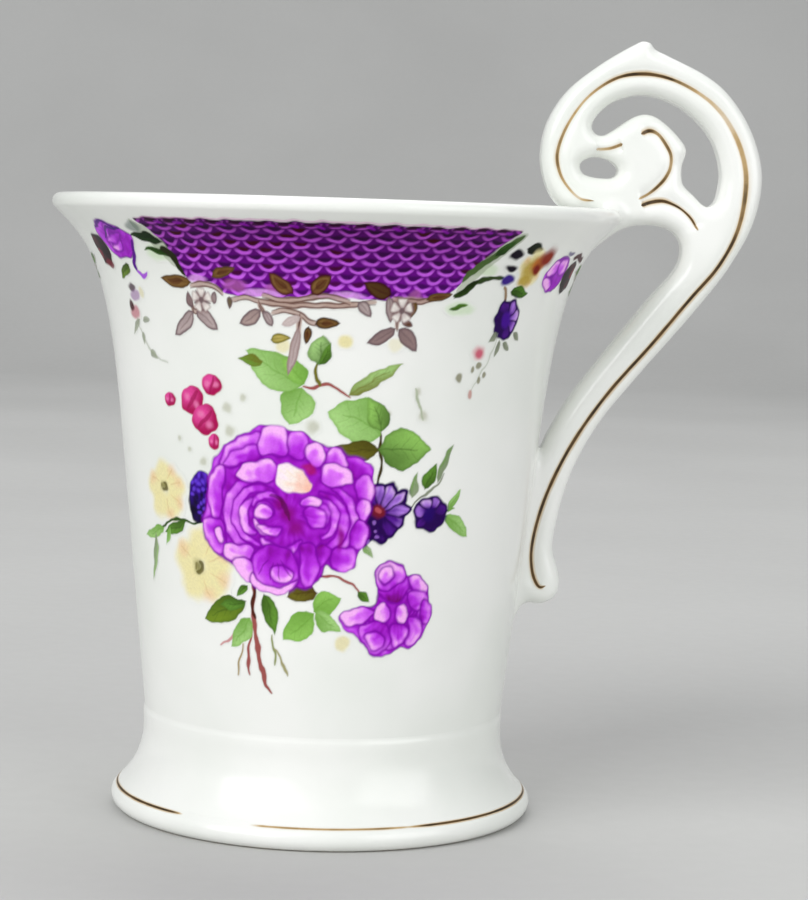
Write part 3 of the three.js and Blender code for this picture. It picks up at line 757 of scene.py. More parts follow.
class Print:
    """Enamel print on half of the wall: colour and cover on a grid of angle from the front and height."""

    def __init__(self):
        count = round(math.pi * PANEL_RADIUS / PRINT_STEP)
        self.angle = np.linspace(-math.pi / 2, math.pi / 2, count + 1)
        self.height = np.arange(PRINT_BOTTOM, PRINT_TOP, PRINT_STEP)
        self.colour = np.zeros((len(self.height), len(self.angle), 3))
        self.cover = np.zeros(self.colour.shape[:2])
        self.across = self.angle
        self.wander = 1.0

    def on_radius(self, radius, wander=1.0):
        """Takes later motifs in millimetres on a wall of this radius, from a hand that wanders so much."""
        self.across = self.angle * radius
        self.wander = wander

    def window(self, points, margin):
        """The grid round some points, and the places of its nodes as the unsteady hand takes them."""
        reach = margin + 0.5
        (left, low), (right, high) = np.min(points, 0) - reach, np.max(points, 0) + reach
        columns = slice(*np.searchsorted(self.across, (left, right)))
        rows = slice(*np.searchsorted(self.height, (low, high)))
        x, y = np.meshgrid(self.across[columns], self.height[rows])
        dx = np.sin(1.3 * x + 2.1 * y) + np.sin(1.6 * y - 2.2 * x + 1) + 0.4 * np.sin(5.1 * x - 3.7 * y)
        dy = np.sin(2.3 * x - 1.1 * y + 2) + np.sin(1.9 * y + 1.7 * x) + 0.4 * np.sin(4.3 * y + 3.9 * x + 2)
        return (rows, columns), (x + WANDER * self.wander * dx, y + WANDER * self.wander * dy)

    def lay(self, place, cover, colour):
        under = self.cover[place]
        total = cover + under * (1 - cover)
        share = (cover / np.maximum(total, 1e-6))[..., None]
        self.colour[place] += (colour - self.colour[place]) * share
        self.cover[place] = total

    def stroke(self, points, width, colour, strength=1.0):
        """Brush line that thins towards its ends."""
        line = spline(points, steps=6)
        place, (x, y) = self.window(line, width)
        gap, along = nearest_on(line, x, y)
        half = width / 2 * (0.4 + 0.6 * np.sqrt(np.sin(np.pi * np.clip(along, 0, 1))))
        self.lay(place, strength * smooth((half - gap) / SOFT_EDGE + 0.5), colour)

    def wash(self, centre, reach, colour, strength=0.6, soft=0.55):
        """Patch of thin colour with a soft edge."""
        centre, reach = np.asarray(centre, float), np.broadcast_to(reach, 2)
        place, (x, y) = self.window(np.array([centre - reach, centre + reach]), 0.3)
        far = np.hypot((x - centre[0]) / reach[0], (y - centre[1]) / reach[1])
        self.lay(place, strength * smooth((1.05 - far) / soft), colour)

    def washes(self, spots, *ink):
        """Patches of one colour, each given as its centre and reach."""
        for centre, reach in spots:
            self.wash(centre, reach, *ink)

    def petal(self, points, heart, tone, tones, edge, contrast=0.34, fold=0.0):
        """Closed outline that lightens away from the flower's heart, with fine streaks, a pale fold inside
        its outer edge and a thin drawn edge."""
        outline = spline(points, closed=True, steps=5)
        place, (x, y) = self.window(outline, 0.3)
        depth = -signed_distance(outline, x, y)
        far = np.hypot(x - heart[0], y - heart[1])
        turn = np.arctan2(y - heart[1], x - heart[0])
        reach = np.hypot(*(outline - heart).T)
        out = np.clip((far - reach.min()) / np.ptp(reach), 0, 1)
        streak = np.sin(23 * turn + 2 * np.sin(5 * turn) + far) + np.sin(13 * turn - 1.3 * far)
        blotch = np.sin(2.9 * x + 1.7 * y) * np.sin(2.3 * y - 1.9 * x)
        shade = tone + contrast * (smooth(out) - 0.55) + BLOTCH_TONE * blotch
        shade += STREAK_TONE * streak * smooth(far / 4)
        shade += fold * smooth(1.5 * out) * np.exp(-((depth / FOLD_DEPTH - 1) ** 2))
        self.lay(place, 0.6 * smooth(1 + depth / 0.5) * self.cover[place], edge)
        self.lay(place, smooth(depth / SOFT_EDGE + 0.5), ramp(shade, tones))
        line = smooth((EDGE_WIDTH / 2 - np.abs(depth)) / SOFT_EDGE + 0.5) * (0.5 + 0.5 * smooth(1 - out))
        self.lay(place, EDGE_STRENGTH * line, edge)

    def leaf(self, base, tip, width, dark, light, bend=0.0, veins=3, outlined=False, strength=1.0):
        """Pointed leaf, lighter towards its tip and left side, with a midrib; bend bows it to its left."""
        base, tip = np.asarray(base, float), np.asarray(tip, float)
        along = tip - base
        side = np.array([-along[1], along[0]]) / np.linalg.norm(along)
        run = np.linspace(0, 1, 9)
        rib = base + run[:, None] * along + (4 * bend * run * (1 - run))[:, None] * side
        half = width / 2 * np.sin(np.pi * run**0.8) ** (0.65 if outlined else 0.9)
        outline = np.vstack([rib + half[:, None] * side, (rib - half[:, None] * side)[-2:0:-1]])
        place, (x, y) = self.window(outline, 0.3)
        depth = -signed_distance(outline, x, y)
        above = smooth(((x - base[0]) * side[0] + (y - base[1]) * side[1] - bend) / width * 1.6 + 0.5)
        out = smooth(((x - base[0]) * along[0] + (y - base[1]) * along[1]) / (along @ along) * 1.2 - 0.1)
        tone = 0.2 + 0.4 * above + 0.4 * out
        if outlined:
            tone = np.minimum(0.55 + 0.45 * tone, smooth(depth / 0.55))
        else:
            tone = tone * (0.6 + 0.4 * smooth(depth / 0.5))
        self.lay(place, strength * smooth(depth / SOFT_EDGE + 0.5), dark + (light - dark) * tone[..., None])
        self.stroke(rib[:7:2], 0.2, dark, 0.5 * strength)
        for share in np.linspace(0.22, 0.6, veins):
            start = base + share * along + 4 * bend * share * (1 - share) * side
            for turn in (1, -1):
                end = start + 0.16 * along + turn * side * width * 0.26 * math.sin(math.pi * share)
                self.stroke([start, end], 0.12, dark, 0.3 * strength)

    def berry(self, centre, radius, dark, light):
        """Round blob with a light from the upper left."""
        centre = np.asarray(centre, float)
        place, (x, y) = self.window(arc(centre, radius, 0, 270, 3), 0.3)
        far = np.hypot(x - centre[0], y - centre[1])
        lit = np.hypot(x - centre[0] + 0.3 * radius, y - centre[1] - 0.35 * radius) / radius
        colour = dark + (light - dark) * smooth(1.2 - lit)[..., None]
        self.lay(place, smooth((radius - far) / SOFT_EDGE + 0.5), colour)


def ramp(tone, stops):
    """Colour for each tone, between stops of tone and ink."""
    places, inks = zip(*stops)
    return np.stack([np.interp(tone, places, channel) for channel in np.transpose(inks)], -1)


# Inks
PLUM = linear(112, 0, 146)
VIOLET = linear(158, 20, 196)
ROSE_EDGE = linear(128, 0, 168)
LILAC = linear(224, 116, 250)
MAGENTA = linear(134, 0, 116)
CREAM = linear(252, 238, 228)
INDIGO = linear(36, 0, 104)
LAVENDER = linear(170, 116, 222)
TAUPE = linear(192, 175, 173)
UMBER = linear(104, 84, 88)
BROWN = linear(134, 100, 54)
DEEP_GREEN = linear(52, 84, 26)
LEAF_GREEN = linear(106, 158, 58)
PALE_GREEN = linear(172, 216, 134)
OLIVE = linear(112, 108, 34)
MID_OLIVE = linear(96, 88, 20)
DARK_OLIVE = linear(82, 76, 12)
GREY_GREEN = linear(176, 186, 160)
YELLOW = linear(240, 230, 172)
PEACH = linear(240, 202, 160)
OCHRE = linear(214, 180, 124)
ROSE_PINK = linear(228, 74, 156)
CRIMSON = linear(172, 20, 84)
STEM_RED = linear(158, 84, 80)
NAVY = linear(14, 8, 44)
MAROON = linear(64, 4, 16)

# Tones of a flower's petals from dark to light, and how far a rose petal's fold is lighter
ROSE_FOLD = 0.22
ROSE_TONES = [
    (0, linear(118, 0, 118)), (0.25, VIOLET), (0.5, linear(190, 54, 232)), (0.78, LILAC),
    (1, linear(252, 184, 252)),
]
CREAM_TONES = [(0.5, linear(250, 196, 176)), (0.8, CREAM), (1, linear(255, 236, 246))]
ASTER_TONES = [
    (0, linear(36, 0, 80)), (0.45, linear(84, 24, 146)), (0.75, LAVENDER), (1, linear(222, 186, 240)),
]
WINE_TONES = [
    (0, linear(16, 2, 8)), (0.5, linear(60, 6, 22)), (0.8, linear(116, 24, 44)), (1, linear(176, 84, 96)),
]

# Rose: its heart, its outline, its rolled inner petals as centre, radius, width, first and last angle and
# tone, the outer petals as tone and outline, back ones first, and spots of shade as centre and reach
ROSE_HEART = (-5.2, 42.6)
ROSE_GROUND = [
    (-16.2, 47.2), (-14.2, 50.6), (-11.0, 52.7), (-8.0, 54.0), (-5.5, 53.4), (-3.4, 53.3), (-1.4, 52.0),
    (0.5, 51.4), (2.6, 50.3), (5.0, 49.5), (5.5, 47.4), (5.0, 44.8), (5.0, 43.0), (4.6, 41.6),
    (5.0, 40.2), (4.0, 38.4), (3.6, 36.4), (1.5, 35.8), (0.0, 36.6), (-1.0, 34.6), (-2.2, 33.6),
    (-4.2, 33.6), (-6.2, 32.6), (-8.4, 32.8), (-10.4, 33.9), (-12.4, 35.9), (-14.4, 36.8), (-16.3, 38.3),
    (-17.4, 40.9), (-16.4, 44.0),
]
ROSE_ROLLS = [
    ((-8.4, 42.4), 4.4, 1.3, 96, 272, 0.44), ((-2.0, 42.2), 4.7, 1.2, -72, 62, 0.46),
    ((-8.3, 42.3), 3.3, 1.3, 70, 262, 0.4), ((-2.2, 42.0), 3.6, 1.2, -82, 74, 0.3),
    ((-6.0, 42.0), 3.4, 1.1, 222, 318, 0.52), ((-8.1, 42.3), 2.5, 1.2, 128, 238, 0.68),
    ((-2.2, 42.2), 2.5, 1.1, -60, 86, 0.44), ((-8.0, 42.6), 2.1, 0.9, 28, 150, 0.34),
    ((-2.1, 42.5), 1.5, 1.0, -40, 110, 0.32), ((-7.9, 42.3), 1.5, 0.9, 186, 306, 0.7),
    ((-8.2, 42.7), 0.9, 0.8, 10, 220, 0.4),
]
ROSE_PETALS = [
    (0.52, [
        (-14.3, 48.4), (-13.7, 50.6), (-11.5, 52.2), (-9.0, 52.9), (-8.6, 51.0), (-9.2, 49.4),
        (-11.4, 48.8),
    ]),
    (0.42, [(-13.8, 48.6), (-12.6, 50.2), (-10.4, 51.2), (-8.8, 51.2), (-9.0, 49.6), (-11.4, 48.9)]),
    (0.50, [(-5.4, 50.4), (-5.2, 53.0), (-3.7, 53.4), (-2.8, 52.5), (-2.9, 50.4), (-4.2, 49.8)]),
    (0.72, [
        (-9.0, 51.4), (-8.7, 53.0), (-7.8, 54.0), (-6.5, 54.0), (-5.5, 53.2), (-5.2, 51.5), (-5.6, 50.2),
        (-7.2, 50.4), (-8.6, 50.1),
    ]),
    (0.26, [(1.9, 48.6), (2.1, 50.2), (3.6, 50.2), (5.0, 49.5), (5.4, 47.9), (3.9, 47.4)]),
    (0.62, [(-0.6, 49.4), (-0.3, 51.0), (0.6, 51.5), (1.9, 50.4), (2.1, 49.2), (0.8, 48.9)]),
    (0.82, [(-2.9, 50.0), (-2.8, 51.7), (-1.7, 52.1), (-0.7, 51.0), (-0.8, 49.3), (-2.0, 49.0)]),
    (0.60, [(3.3, 46.0), (3.4, 47.7), (4.7, 48.0), (5.6, 46.6), (5.2, 44.7), (4.0, 44.6)]),
    (0.66, [(3.6, 44.6), (4.9, 44.9), (5.3, 43.4), (4.7, 42.2), (4.0, 42.6)]),
    (0.56, [
        (-16.1, 46.6), (-15.0, 48.3), (-13.6, 48.2), (-14.2, 45.5), (-14.3, 42.5), (-15.2, 41.2),
        (-16.2, 43.0),
    ]),
    (0.52, [(-17.4, 40.9), (-16.0, 41.8), (-14.2, 41.0), (-13.8, 39.2), (-14.4, 37.2), (-16.2, 38.0)]),
    (0.96, [(-15.5, 40.2), (-14.7, 40.6), (-14.0, 39.4), (-14.5, 38.5), (-15.3, 39.1)]),
    (0.80, [(-14.1, 38.3), (-12.0, 38.6), (-9.8, 38.2), (-10.2, 36.9), (-12.4, 36.4), (-14.2, 37.0)]),
    (0.92, [(-12.9, 36.4), (-11.2, 36.9), (-9.9, 36.4), (-9.8, 34.4), (-10.6, 33.8), (-11.8, 34.7)]),
    (0.74, [
        (-12.0, 47.4), (-11.2, 48.6), (-9.4, 49.4), (-7.0, 49.5), (-6.7, 47.6), (-8.0, 46.7),
        (-10.4, 46.7),
    ]),
    (0.80, [(-1.0, 47.0), (-0.9, 49.0), (0.4, 49.5), (2.2, 48.8), (3.0, 47.2), (1.4, 46.6)]),
    (0.46, [(2.9, 40.6), (3.6, 42.3), (4.7, 42.0), (5.1, 40.3), (4.3, 38.7), (3.1, 38.6)]),
    (0.46, [(0.3, 37.6), (1.2, 38.8), (3.2, 38.6), (3.9, 37.3), (3.0, 35.9), (1.6, 35.7)]),
    (0.14, [(-1.6, 38.8), (-0.6, 39.2), (0.3, 38.4), (-0.2, 36.8), (-1.2, 36.0)]),
    (0.36, [
        (-3.4, 38.9), (-2.6, 39.4), (-1.6, 38.6), (-1.1, 36.0), (-1.9, 33.8), (-3.0, 33.7), (-3.5, 35.4),
    ]),
    (0.40, [
        (-10.0, 36.6), (-9.0, 38.3), (-6.6, 38.7), (-4.6, 38.0), (-3.8, 36.0), (-4.0, 33.8), (-6.2, 32.8),
        (-8.6, 33.0), (-9.8, 34.6),
    ]),
    (0.96, [
        (-10.1, 35.0), (-9.3, 34.0), (-7.3, 33.4), (-5.2, 33.7), (-3.9, 34.4), (-4.4, 33.2), (-6.3, 32.5),
        (-8.5, 32.7), (-10.2, 33.8),
    ]),
    (0.66, [(-7.4, 35.9), (-5.8, 36.2), (-4.6, 35.4), (-4.9, 34.3), (-6.4, 34.0), (-7.4, 34.7)]),
    (0.74, [(-9.5, 43.4), (-8.4, 44.0), (-7.4, 43.5), (-7.4, 42.4), (-8.5, 42.0), (-9.4, 42.5)]),
    (0.70, [(-9.4, 40.9), (-8.2, 40.2), (-6.6, 40.0), (-6.0, 40.8), (-7.3, 41.1), (-8.4, 41.4)]),
    (0.76, [(-3.7, 44.4), (-2.6, 45.2), (-1.1, 44.9), (-1.3, 44.0), (-2.6, 43.8)]),
    (0.46, [(-3.2, 43.4), (-1.6, 43.8), (-0.2, 43.0), (-0.7, 41.4), (-2.2, 41.4)]),
]
ROSE_SHADES = [
    ((-6.2, 44.2), 1.2), ((-5.2, 42.8), 1.5), ((-4.2, 41.2), 1.5), ((1.6, 40.0), (0.6, 2.2)),
]
CREAM_PETAL = [
    (-6.8, 47.6), (-6.4, 49.2), (-4.6, 49.1), (-3.2, 48.2), (-2.1, 46.6), (-3.4, 45.5), (-5.4, 45.7),
    (-6.6, 46.6),
]

# Half-open rose at the lower right, in the same way
BUD_HEART = (9.4, 30.4)
BUD_GROUND = [
    (1.9, 29.8), (3.6, 31.0), (5.6, 31.1), (6.7, 31.8), (7.1, 33.0), (6.4, 34.7), (6.8, 36.4),
    (8.2, 37.1), (10.0, 36.6), (11.0, 35.2), (12.6, 35.2), (14.0, 34.0), (14.4, 32.0), (15.2, 30.2),
    (14.6, 28.6), (13.9, 27.0), (12.0, 25.7), (10.4, 25.7), (9.0, 25.0), (7.3, 24.6), (5.8, 25.7),
    (4.4, 27.3), (2.7, 28.3),
]
BUD_ROLLS = [
    ((9.2, 30.4), 3.5, 1.2, 196, 322, 0.46), ((9.6, 31.2), 3.4, 1.1, -44, 66, 0.5),
    ((9.2, 30.2), 2.2, 1.1, 205, 330, 0.38), ((9.6, 31.2), 2.2, 1.0, -30, 70, 0.36),
]
BUD_PETALS = [
    (0.66, [
        (6.5, 34.7), (6.9, 36.4), (8.3, 37.0), (9.9, 36.4), (10.8, 35.0), (9.6, 33.8), (8.0, 33.2),
        (7.0, 33.6),
    ]),
    (0.84, [(6.9, 35.0), (7.4, 36.2), (8.6, 36.4), (8.9, 35.0), (8.0, 34.2)]),
    (0.20, [
        (7.0, 33.3), (8.6, 33.3), (10.4, 34.5), (11.0, 35.0), (11.2, 33.6), (10.2, 32.0), (8.6, 31.8),
    ]),
    (0.70, [(11.2, 34.9), (12.6, 35.1), (14.0, 33.9), (13.9, 32.6), (12.5, 33.0), (11.6, 33.5)]),
    (0.52, [(11.4, 33.0), (13.0, 33.1), (14.3, 32.0), (13.6, 30.7), (12.4, 30.5), (11.5, 31.5)]),
    (0.46, [(13.7, 31.9), (14.8, 31.3), (15.1, 30.0), (14.4, 28.7), (13.4, 29.4), (13.4, 30.6)]),
    (0.76, [(2.0, 29.9), (3.5, 31.0), (5.6, 31.0), (6.7, 30.6), (5.2, 29.3), (3.4, 28.6)]),
    (0.40, [(4.6, 28.6), (6.4, 29.2), (8.4, 29.0), (9.2, 27.6), (8.6, 25.9), (7.2, 24.9), (5.7, 26.0)]),
    (0.58, [(5.6, 27.4), (6.8, 28.0), (8.2, 27.2), (8.0, 25.8), (6.6, 25.6)]),
    (0.46, [(9.2, 28.8), (10.8, 28.8), (11.8, 27.7), (11.0, 26.3), (9.6, 26.0)]),
    (0.56, [(11.6, 29.8), (13.2, 29.4), (13.9, 27.8), (12.6, 26.2), (11.4, 26.2), (11.9, 27.8)]),
    (0.82, [(6.8, 31.3), (8.0, 31.6), (8.8, 30.5), (8.2, 29.3), (6.8, 29.5)]),
    (0.74, [(9.8, 31.3), (10.8, 31.4), (11.4, 30.3), (10.9, 29.0), (9.9, 29.2)]),
]


def rolled_petal(centre, radius, width, start, end):
    """Outline along an arc that swells in its middle."""
    turn = np.radians(np.linspace(start, end, 8))[:, None]
    way = np.hstack([np.cos(turn), np.sin(turn)])
    swell = width * np.sin(np.linspace(0.3, math.pi - 0.3, 8))[:, None]
    return np.vstack([centre + way * (radius + swell), (centre + way * radius)[::-1]])


def paint_rose(paint, heart, ground, rolls, petals):
    """Rose of a streaked ground, rolled petals round its heart, and outer petals over them."""
    paint.petal(ground, heart, 0.34, ROSE_TONES, PLUM, 0.12, ROSE_FOLD)
    for *roll, tone in rolls:
        paint.petal(rolled_petal(*roll), heart, tone, ROSE_TONES, ROSE_EDGE, fold=ROSE_FOLD)
    for tone, outline in petals:
        paint.petal(outline, heart, tone, ROSE_TONES, ROSE_EDGE, fold=ROSE_FOLD)


def paint_big_rose(paint):
    paint_rose(paint, ROSE_HEART, ROSE_GROUND, ROSE_ROLLS, ROSE_PETALS)
    paint.wash((-2.7, 48.6), (1.3, 1.0), CRIMSON, 0.75)
    paint.petal(CREAM_PETAL, (-2.4, 46.4), 0.8, CREAM_TONES, VIOLET, 0.5)
    paint.washes(ROSE_SHADES, MAGENTA, 0.8, 0.9)
    paint.stroke([(-7.4, 45.0), (-6.4, 44.8), (-5.6, 43.8), (-5.0, 42.2)], 0.6, MAROON, 0.6)
    for turn in (-20, 5, 28, 50):
        line = [arc((-7, 38), reach, 255 + turn, 250 + turn, 1)[0] for reach in (1.4, 2.6, 3.8)]
        paint.stroke(line, 0.22, PLUM, 0.6)


def paint_aster(paint, centre, radius, petals, dark_side, tones=ASTER_TONES):
    """Flower of narrow petals on wider dark ones, pale on one side and nearly all dark on the other."""
    centre = np.asarray(centre, float)
    shade = math.radians(dark_side)
    paint.wash(centre, 0.45 * radius, tones[0][1], 1.0)
    for border, length, lift in ((0.4, 1.0, -1.0), (0.0, 0.9, 0.0)):
        for i in range(petals):
            angle = shade + 2 * math.pi * (i + 0.5) / petals
            way = np.array([math.cos(angle), math.sin(angle)])
            side = np.array([-way[1], way[0]]) * (0.55 * radius * math.pi / petals + border)
            tip = centre + way * radius * (0.9 + 0.1 * math.cos(5 * i)) * length
            middle = centre + way * radius * 0.66
            tone = lift + 0.3 - 0.46 * math.cos(angle - shade)
            outline = [centre + way * 0.3, middle + side, tip, middle - side]
            paint.petal(outline, centre, tone, tones, tones[0][1], 0.3)


def paint_yellow_flower(paint, centre, radius, eye):
    """Pale yellow blossom of five washed petals, shaded peach to the right, with an olive eye."""
    centre, eye = np.asarray(centre, float), np.asarray(eye, float)
    for i in range(5):
        lobe = arc(centre, radius * 0.5, 72 * i + 20, 72 * i + 20, 1)[0]
        paint.wash(lobe, radius * 0.56, YELLOW, 0.95, 0.6)
    for turn in (-75, -25, 25, 60, 150):
        rim = arc(centre, radius * 0.72, turn, turn, 1)[0]
        paint.wash(rim, radius * 0.3, PEACH, 0.6, 0.9)
        crease = [eye + (rim - eye) * share for share in (0.45, 0.8, 1.1)]
        paint.stroke(crease, 0.22, OCHRE, 0.4)
    paint.wash(eye, radius * 0.26, OLIVE, 0.8, 0.9)
    paint.stroke(arc(eye, radius * 0.13, -130, 80, 6), radius * 0.12, DARK_OLIVE, 0.8)
    paint.stroke(arc(eye, radius * 0.12, 130, 200, 3), radius * 0.08, MID_OLIVE, 0.6)


# Panel under the rim: its outline, its rows of scales, which keep their pitch along the wall, and the spots
# that lighten and shade its lower edge
PANEL_OUTLINE = [
    (-25.6, 79.1), (-24.8, 79.3), (-12, 79.3), (0, 79.3), (12, 79.2), (22.4, 79.1), (23.0, 78.9),
    (21.4, 77.4), (19.6, 75.4), (17.6, 73.4), (16.2, 71.6), (14.6, 70.6), (11.4, 70.0), (8, 69.9),
    (2, 70.2), (-4, 70.0), (-9, 70.1), (-14.6, 70.2), (-16.4, 71.4), (-20.6, 72.0), (-21.6, 74.0),
    (-22.6, 75.6), (-24.0, 77.6),
]
PANEL_TOP = 79.3
SCALE_WIDTH = 2.87
SCALE_PITCH = 1.08
SCALE_ROWS = 10
SMILE_RADIUS = 1.4
SMILE_WIDTH = 0.4
PANEL_TONES = [(0, linear(68, 0, 84)), (0.5, linear(92, 2, 118)), (1, linear(118, 10, 156))]
SMILE_TONES = [(0, linear(174, 74, 188)), (0.45, linear(198, 90, 226)), (1, linear(216, 108, 255))]
HOLLOW_TONES = [(0, linear(30, 0, 32)), (0.6, linear(46, 0, 62)), (1, linear(66, 0, 96))]
PANEL_RIM = [(-25.2, 79.3), (-12, 79.42), (0, 79.42), (12, 79.34), (22.8, 79.1)]
PANEL_LIGHTS = [((-19, 71.9), (1.9, 0.6)), ((-9.5, 70.5), (4.0, 0.6)), ((1.5, 70.5), (2.8, 0.6))]
PANEL_SHADES = [((-13.4, 71.3), (2.2, 1.0)), ((-7.4, 71.2), (2.4, 0.6)), ((10.6, 70.7), (1.2, 0.9))]


def paint_panel(paint):
    """Scale ground: in each scale a light smile along its lower edge and a dark hollow above it."""
    outline = spline(PANEL_OUTLINE, closed=True)
    place, (x, z) = paint.window(outline, 0.4)
    depth = -signed_distance(outline, x, z)
    run = np.concatenate([[0], np.cumsum(np.hypot(*np.diff(OUTER_WALL, axis=0).T))])
    below = np.interp(PANEL_TOP, OUTER_WALL[:, 1], run) - np.interp(z, OUTER_WALL[:, 1], run)
    down = below / (SCALE_ROWS * SCALE_PITCH)
    colour = ramp(down, PANEL_TONES)
    for row in range(SCALE_ROWS + 1):
        shift = SCALE_WIDTH / 2 * (row % 2)
        column = np.round((x - shift) / SCALE_WIDTH)
        u = x - shift - column * SCALE_WIDTH
        v = SCALE_PITCH * (row + 1) - below
        chance = np.sin(column * 12.9 + row * 78.2) * 43758.5
        chance -= np.floor(chance)
        strength = 0.75 + 0.25 * chance
        from_middle = np.hypot(u, SMILE_RADIUS - v)
        hollow = smooth((SMILE_RADIUS - SMILE_WIDTH - from_middle) / 0.35 + 0.4) * smooth((1.3 - v) / 0.45)
        dark = ramp(down, HOLLOW_TONES) + np.array([0.02, 0, -0.03]) * (chance > 0.75)[..., None]
        colour += (np.clip(dark, 0, 1) - colour) * (hollow * strength)[..., None]
        far = np.abs(from_middle - SMILE_RADIUS + SMILE_WIDTH / 2)
        smile = smooth((SMILE_WIDTH / 2 - far) / SOFT_EDGE + 0.5) * smooth((1.1 - v) / 0.7)
        colour += (ramp(down, SMILE_TONES) - colour) * (smile * strength)[..., None]
    paint.lay(place, smooth(depth / SOFT_EDGE + 0.5), colour)
    paint.stroke(PANEL_RIM, 0.2, linear(222, 160, 206), 0.7)
    for column in range(-8, 8):
        slot = SCALE_WIDTH * column + np.array([-0.95, 0, 0.95])
        paint.stroke(np.stack([slot, [78.9, 78.98, 78.9]], 1), 0.5, linear(44, 0, 40), 0.9)
        paint.stroke(np.stack([slot + SCALE_WIDTH / 2, [78.85, 78.6, 78.85]], 1)[[0, 1]], 0.3, VIOLET, 0.6)
    paint.washes(PANEL_LIGHTS, linear(222, 160, 236), 0.8)
    paint.washes(PANEL_SHADES, linear(168, 88, 160), 0.75)


# Scrollwork under the panel: leaves as base, tip, width, dark and light ink, then bands, shades and flowers
PALE_TAUPE = linear(210, 196, 192)
GREY_BROWN = linear(150, 126, 124)
OLIVE_BROWN = linear(84, 60, 26)
RUST = linear(104, 62, 32)
DARK_RUST = linear(72, 36, 20)
SCROLL_LEAVES = [
    ((-20.3, 67.8), (-24.2, 64.7), 1.9, UMBER, TAUPE), ((-19.8, 67.9), (-16.6, 65.6), 1.9, UMBER, TAUPE),
    ((-10.0, 68.3), (-13.2, 66.5), 1.8, UMBER, linear(180, 158, 152)),
    ((-9.7, 68.3), (-8.4, 66.3), 1.3, UMBER, TAUPE), ((-4.6, 67.7), (-7.2, 66.7), 1.2, TAUPE, PALE_TAUPE),
    ((-2.6, 66.8), (0.8, 67.0), 1.5, linear(60, 40, 20), BROWN),
    ((-3.4, 66.6), (-3.9, 64.3), 1.1, linear(60, 40, 24), BROWN),
    ((-4.8, 66.4), (-6.4, 60.3), 1.4, GREY_BROWN, TAUPE),
    ((8.4, 66.6), (4.5, 64.6), 1.7, UMBER, GREY_BROWN),
    ((8.8, 66.5), (11.7, 63.8), 2.1, UMBER, GREY_BROWN), ((3.0, 69.8), (4.8, 67.9), 1.6, UMBER, TAUPE),
    ((7.0, 70.6), (7.6, 67.3), 1.3, UMBER, TAUPE), ((10.9, 69.9), (9.9, 67.9), 1.1, OLIVE_BROWN, BROWN),
    ((9.2, 67.4), (10.8, 66.9), 0.9, UMBER, BROWN),
    ((-20.0, 71.5), (-25.3, 71.8), 1.7, OLIVE_BROWN, BROWN),
    ((-16.6, 72.2), (-13.0, 73.4), 1.3, OLIVE_BROWN, BROWN),
    ((-5.4, 70.5), (-8.6, 73.0), 1.9, linear(70, 6, 26), BROWN),
    ((-3.0, 70.5), (-0.5, 72.9), 1.9, linear(64, 4, 20), BROWN),
    ((7.4, 70.8), (3.6, 72.2), 2.1, linear(56, 2, 16), OLIVE_BROWN),
    ((12.2, 70.2), (16.0, 70.9), 1.1, OLIVE_BROWN, BROWN),
    ((-20.6, 68.2), (-20.8, 70.3), 1.1, UMBER, GREY_BROWN),
    ((-16.9, 68.9), (-16.4, 70.4), 0.9, UMBER, TAUPE), ((-14.3, 69.9), (-14.6, 68.3), 0.8, UMBER, OLIVE),
    ((-8.8, 64.7), (-5.9, 65.0), 1.2, OLIVE, linear(206, 186, 104)),
]
SCROLL_BANDS = [
    [(-20.2, 71.0), (-18.2, 71.3), (-16.2, 70.9), (-15.2, 70.2)],
    [
        (-14.2, 69.5), (-12.0, 69.8), (-9.0, 69.3), (-5.6, 69.1), (-2.4, 69.2), (0.2, 69.2), (2.4, 69.4),
        (5.4, 69.8),
    ],
    [(-9.6, 70.2), (-7.2, 69.7), (-4.8, 69.8), (-2.2, 70.3), (0.2, 70.2), (2.0, 69.6)],
    [(-8.4, 68.1), (-6.2, 68.4), (-4.6, 68.0), (-3.4, 67.2), (-2.2, 66.8)],
    [(7.6, 70.3), (9.4, 70.0), (11.2, 70.0), (13.8, 70.4)],
    [(-20.5, 68.8), (-20.2, 67.9), (-19.4, 67.9)],
    [(8.4, 70.0), (8.6, 68.4), (8.6, 66.5)],
    [(-4.6, 67.8), (-4.8, 66.2), (-5.0, 64.2)],
    [(-10.2, 69.3), (-9.8, 68.4), (-9.4, 67.8)],
]
SCROLL_SHADES = [((-6.2, 69.3), (4.2, 0.8)), ((0.6, 69.3), (3.2, 0.5)), ((10.4, 70.1), (3.4, 0.6))]
SCROLL_FLOWERS = [(-18.7, 69.3), (9.0, 68.8)]
SCROLL_TONES = [(0.3, TAUPE), (0.8, linear(238, 232, 226))]


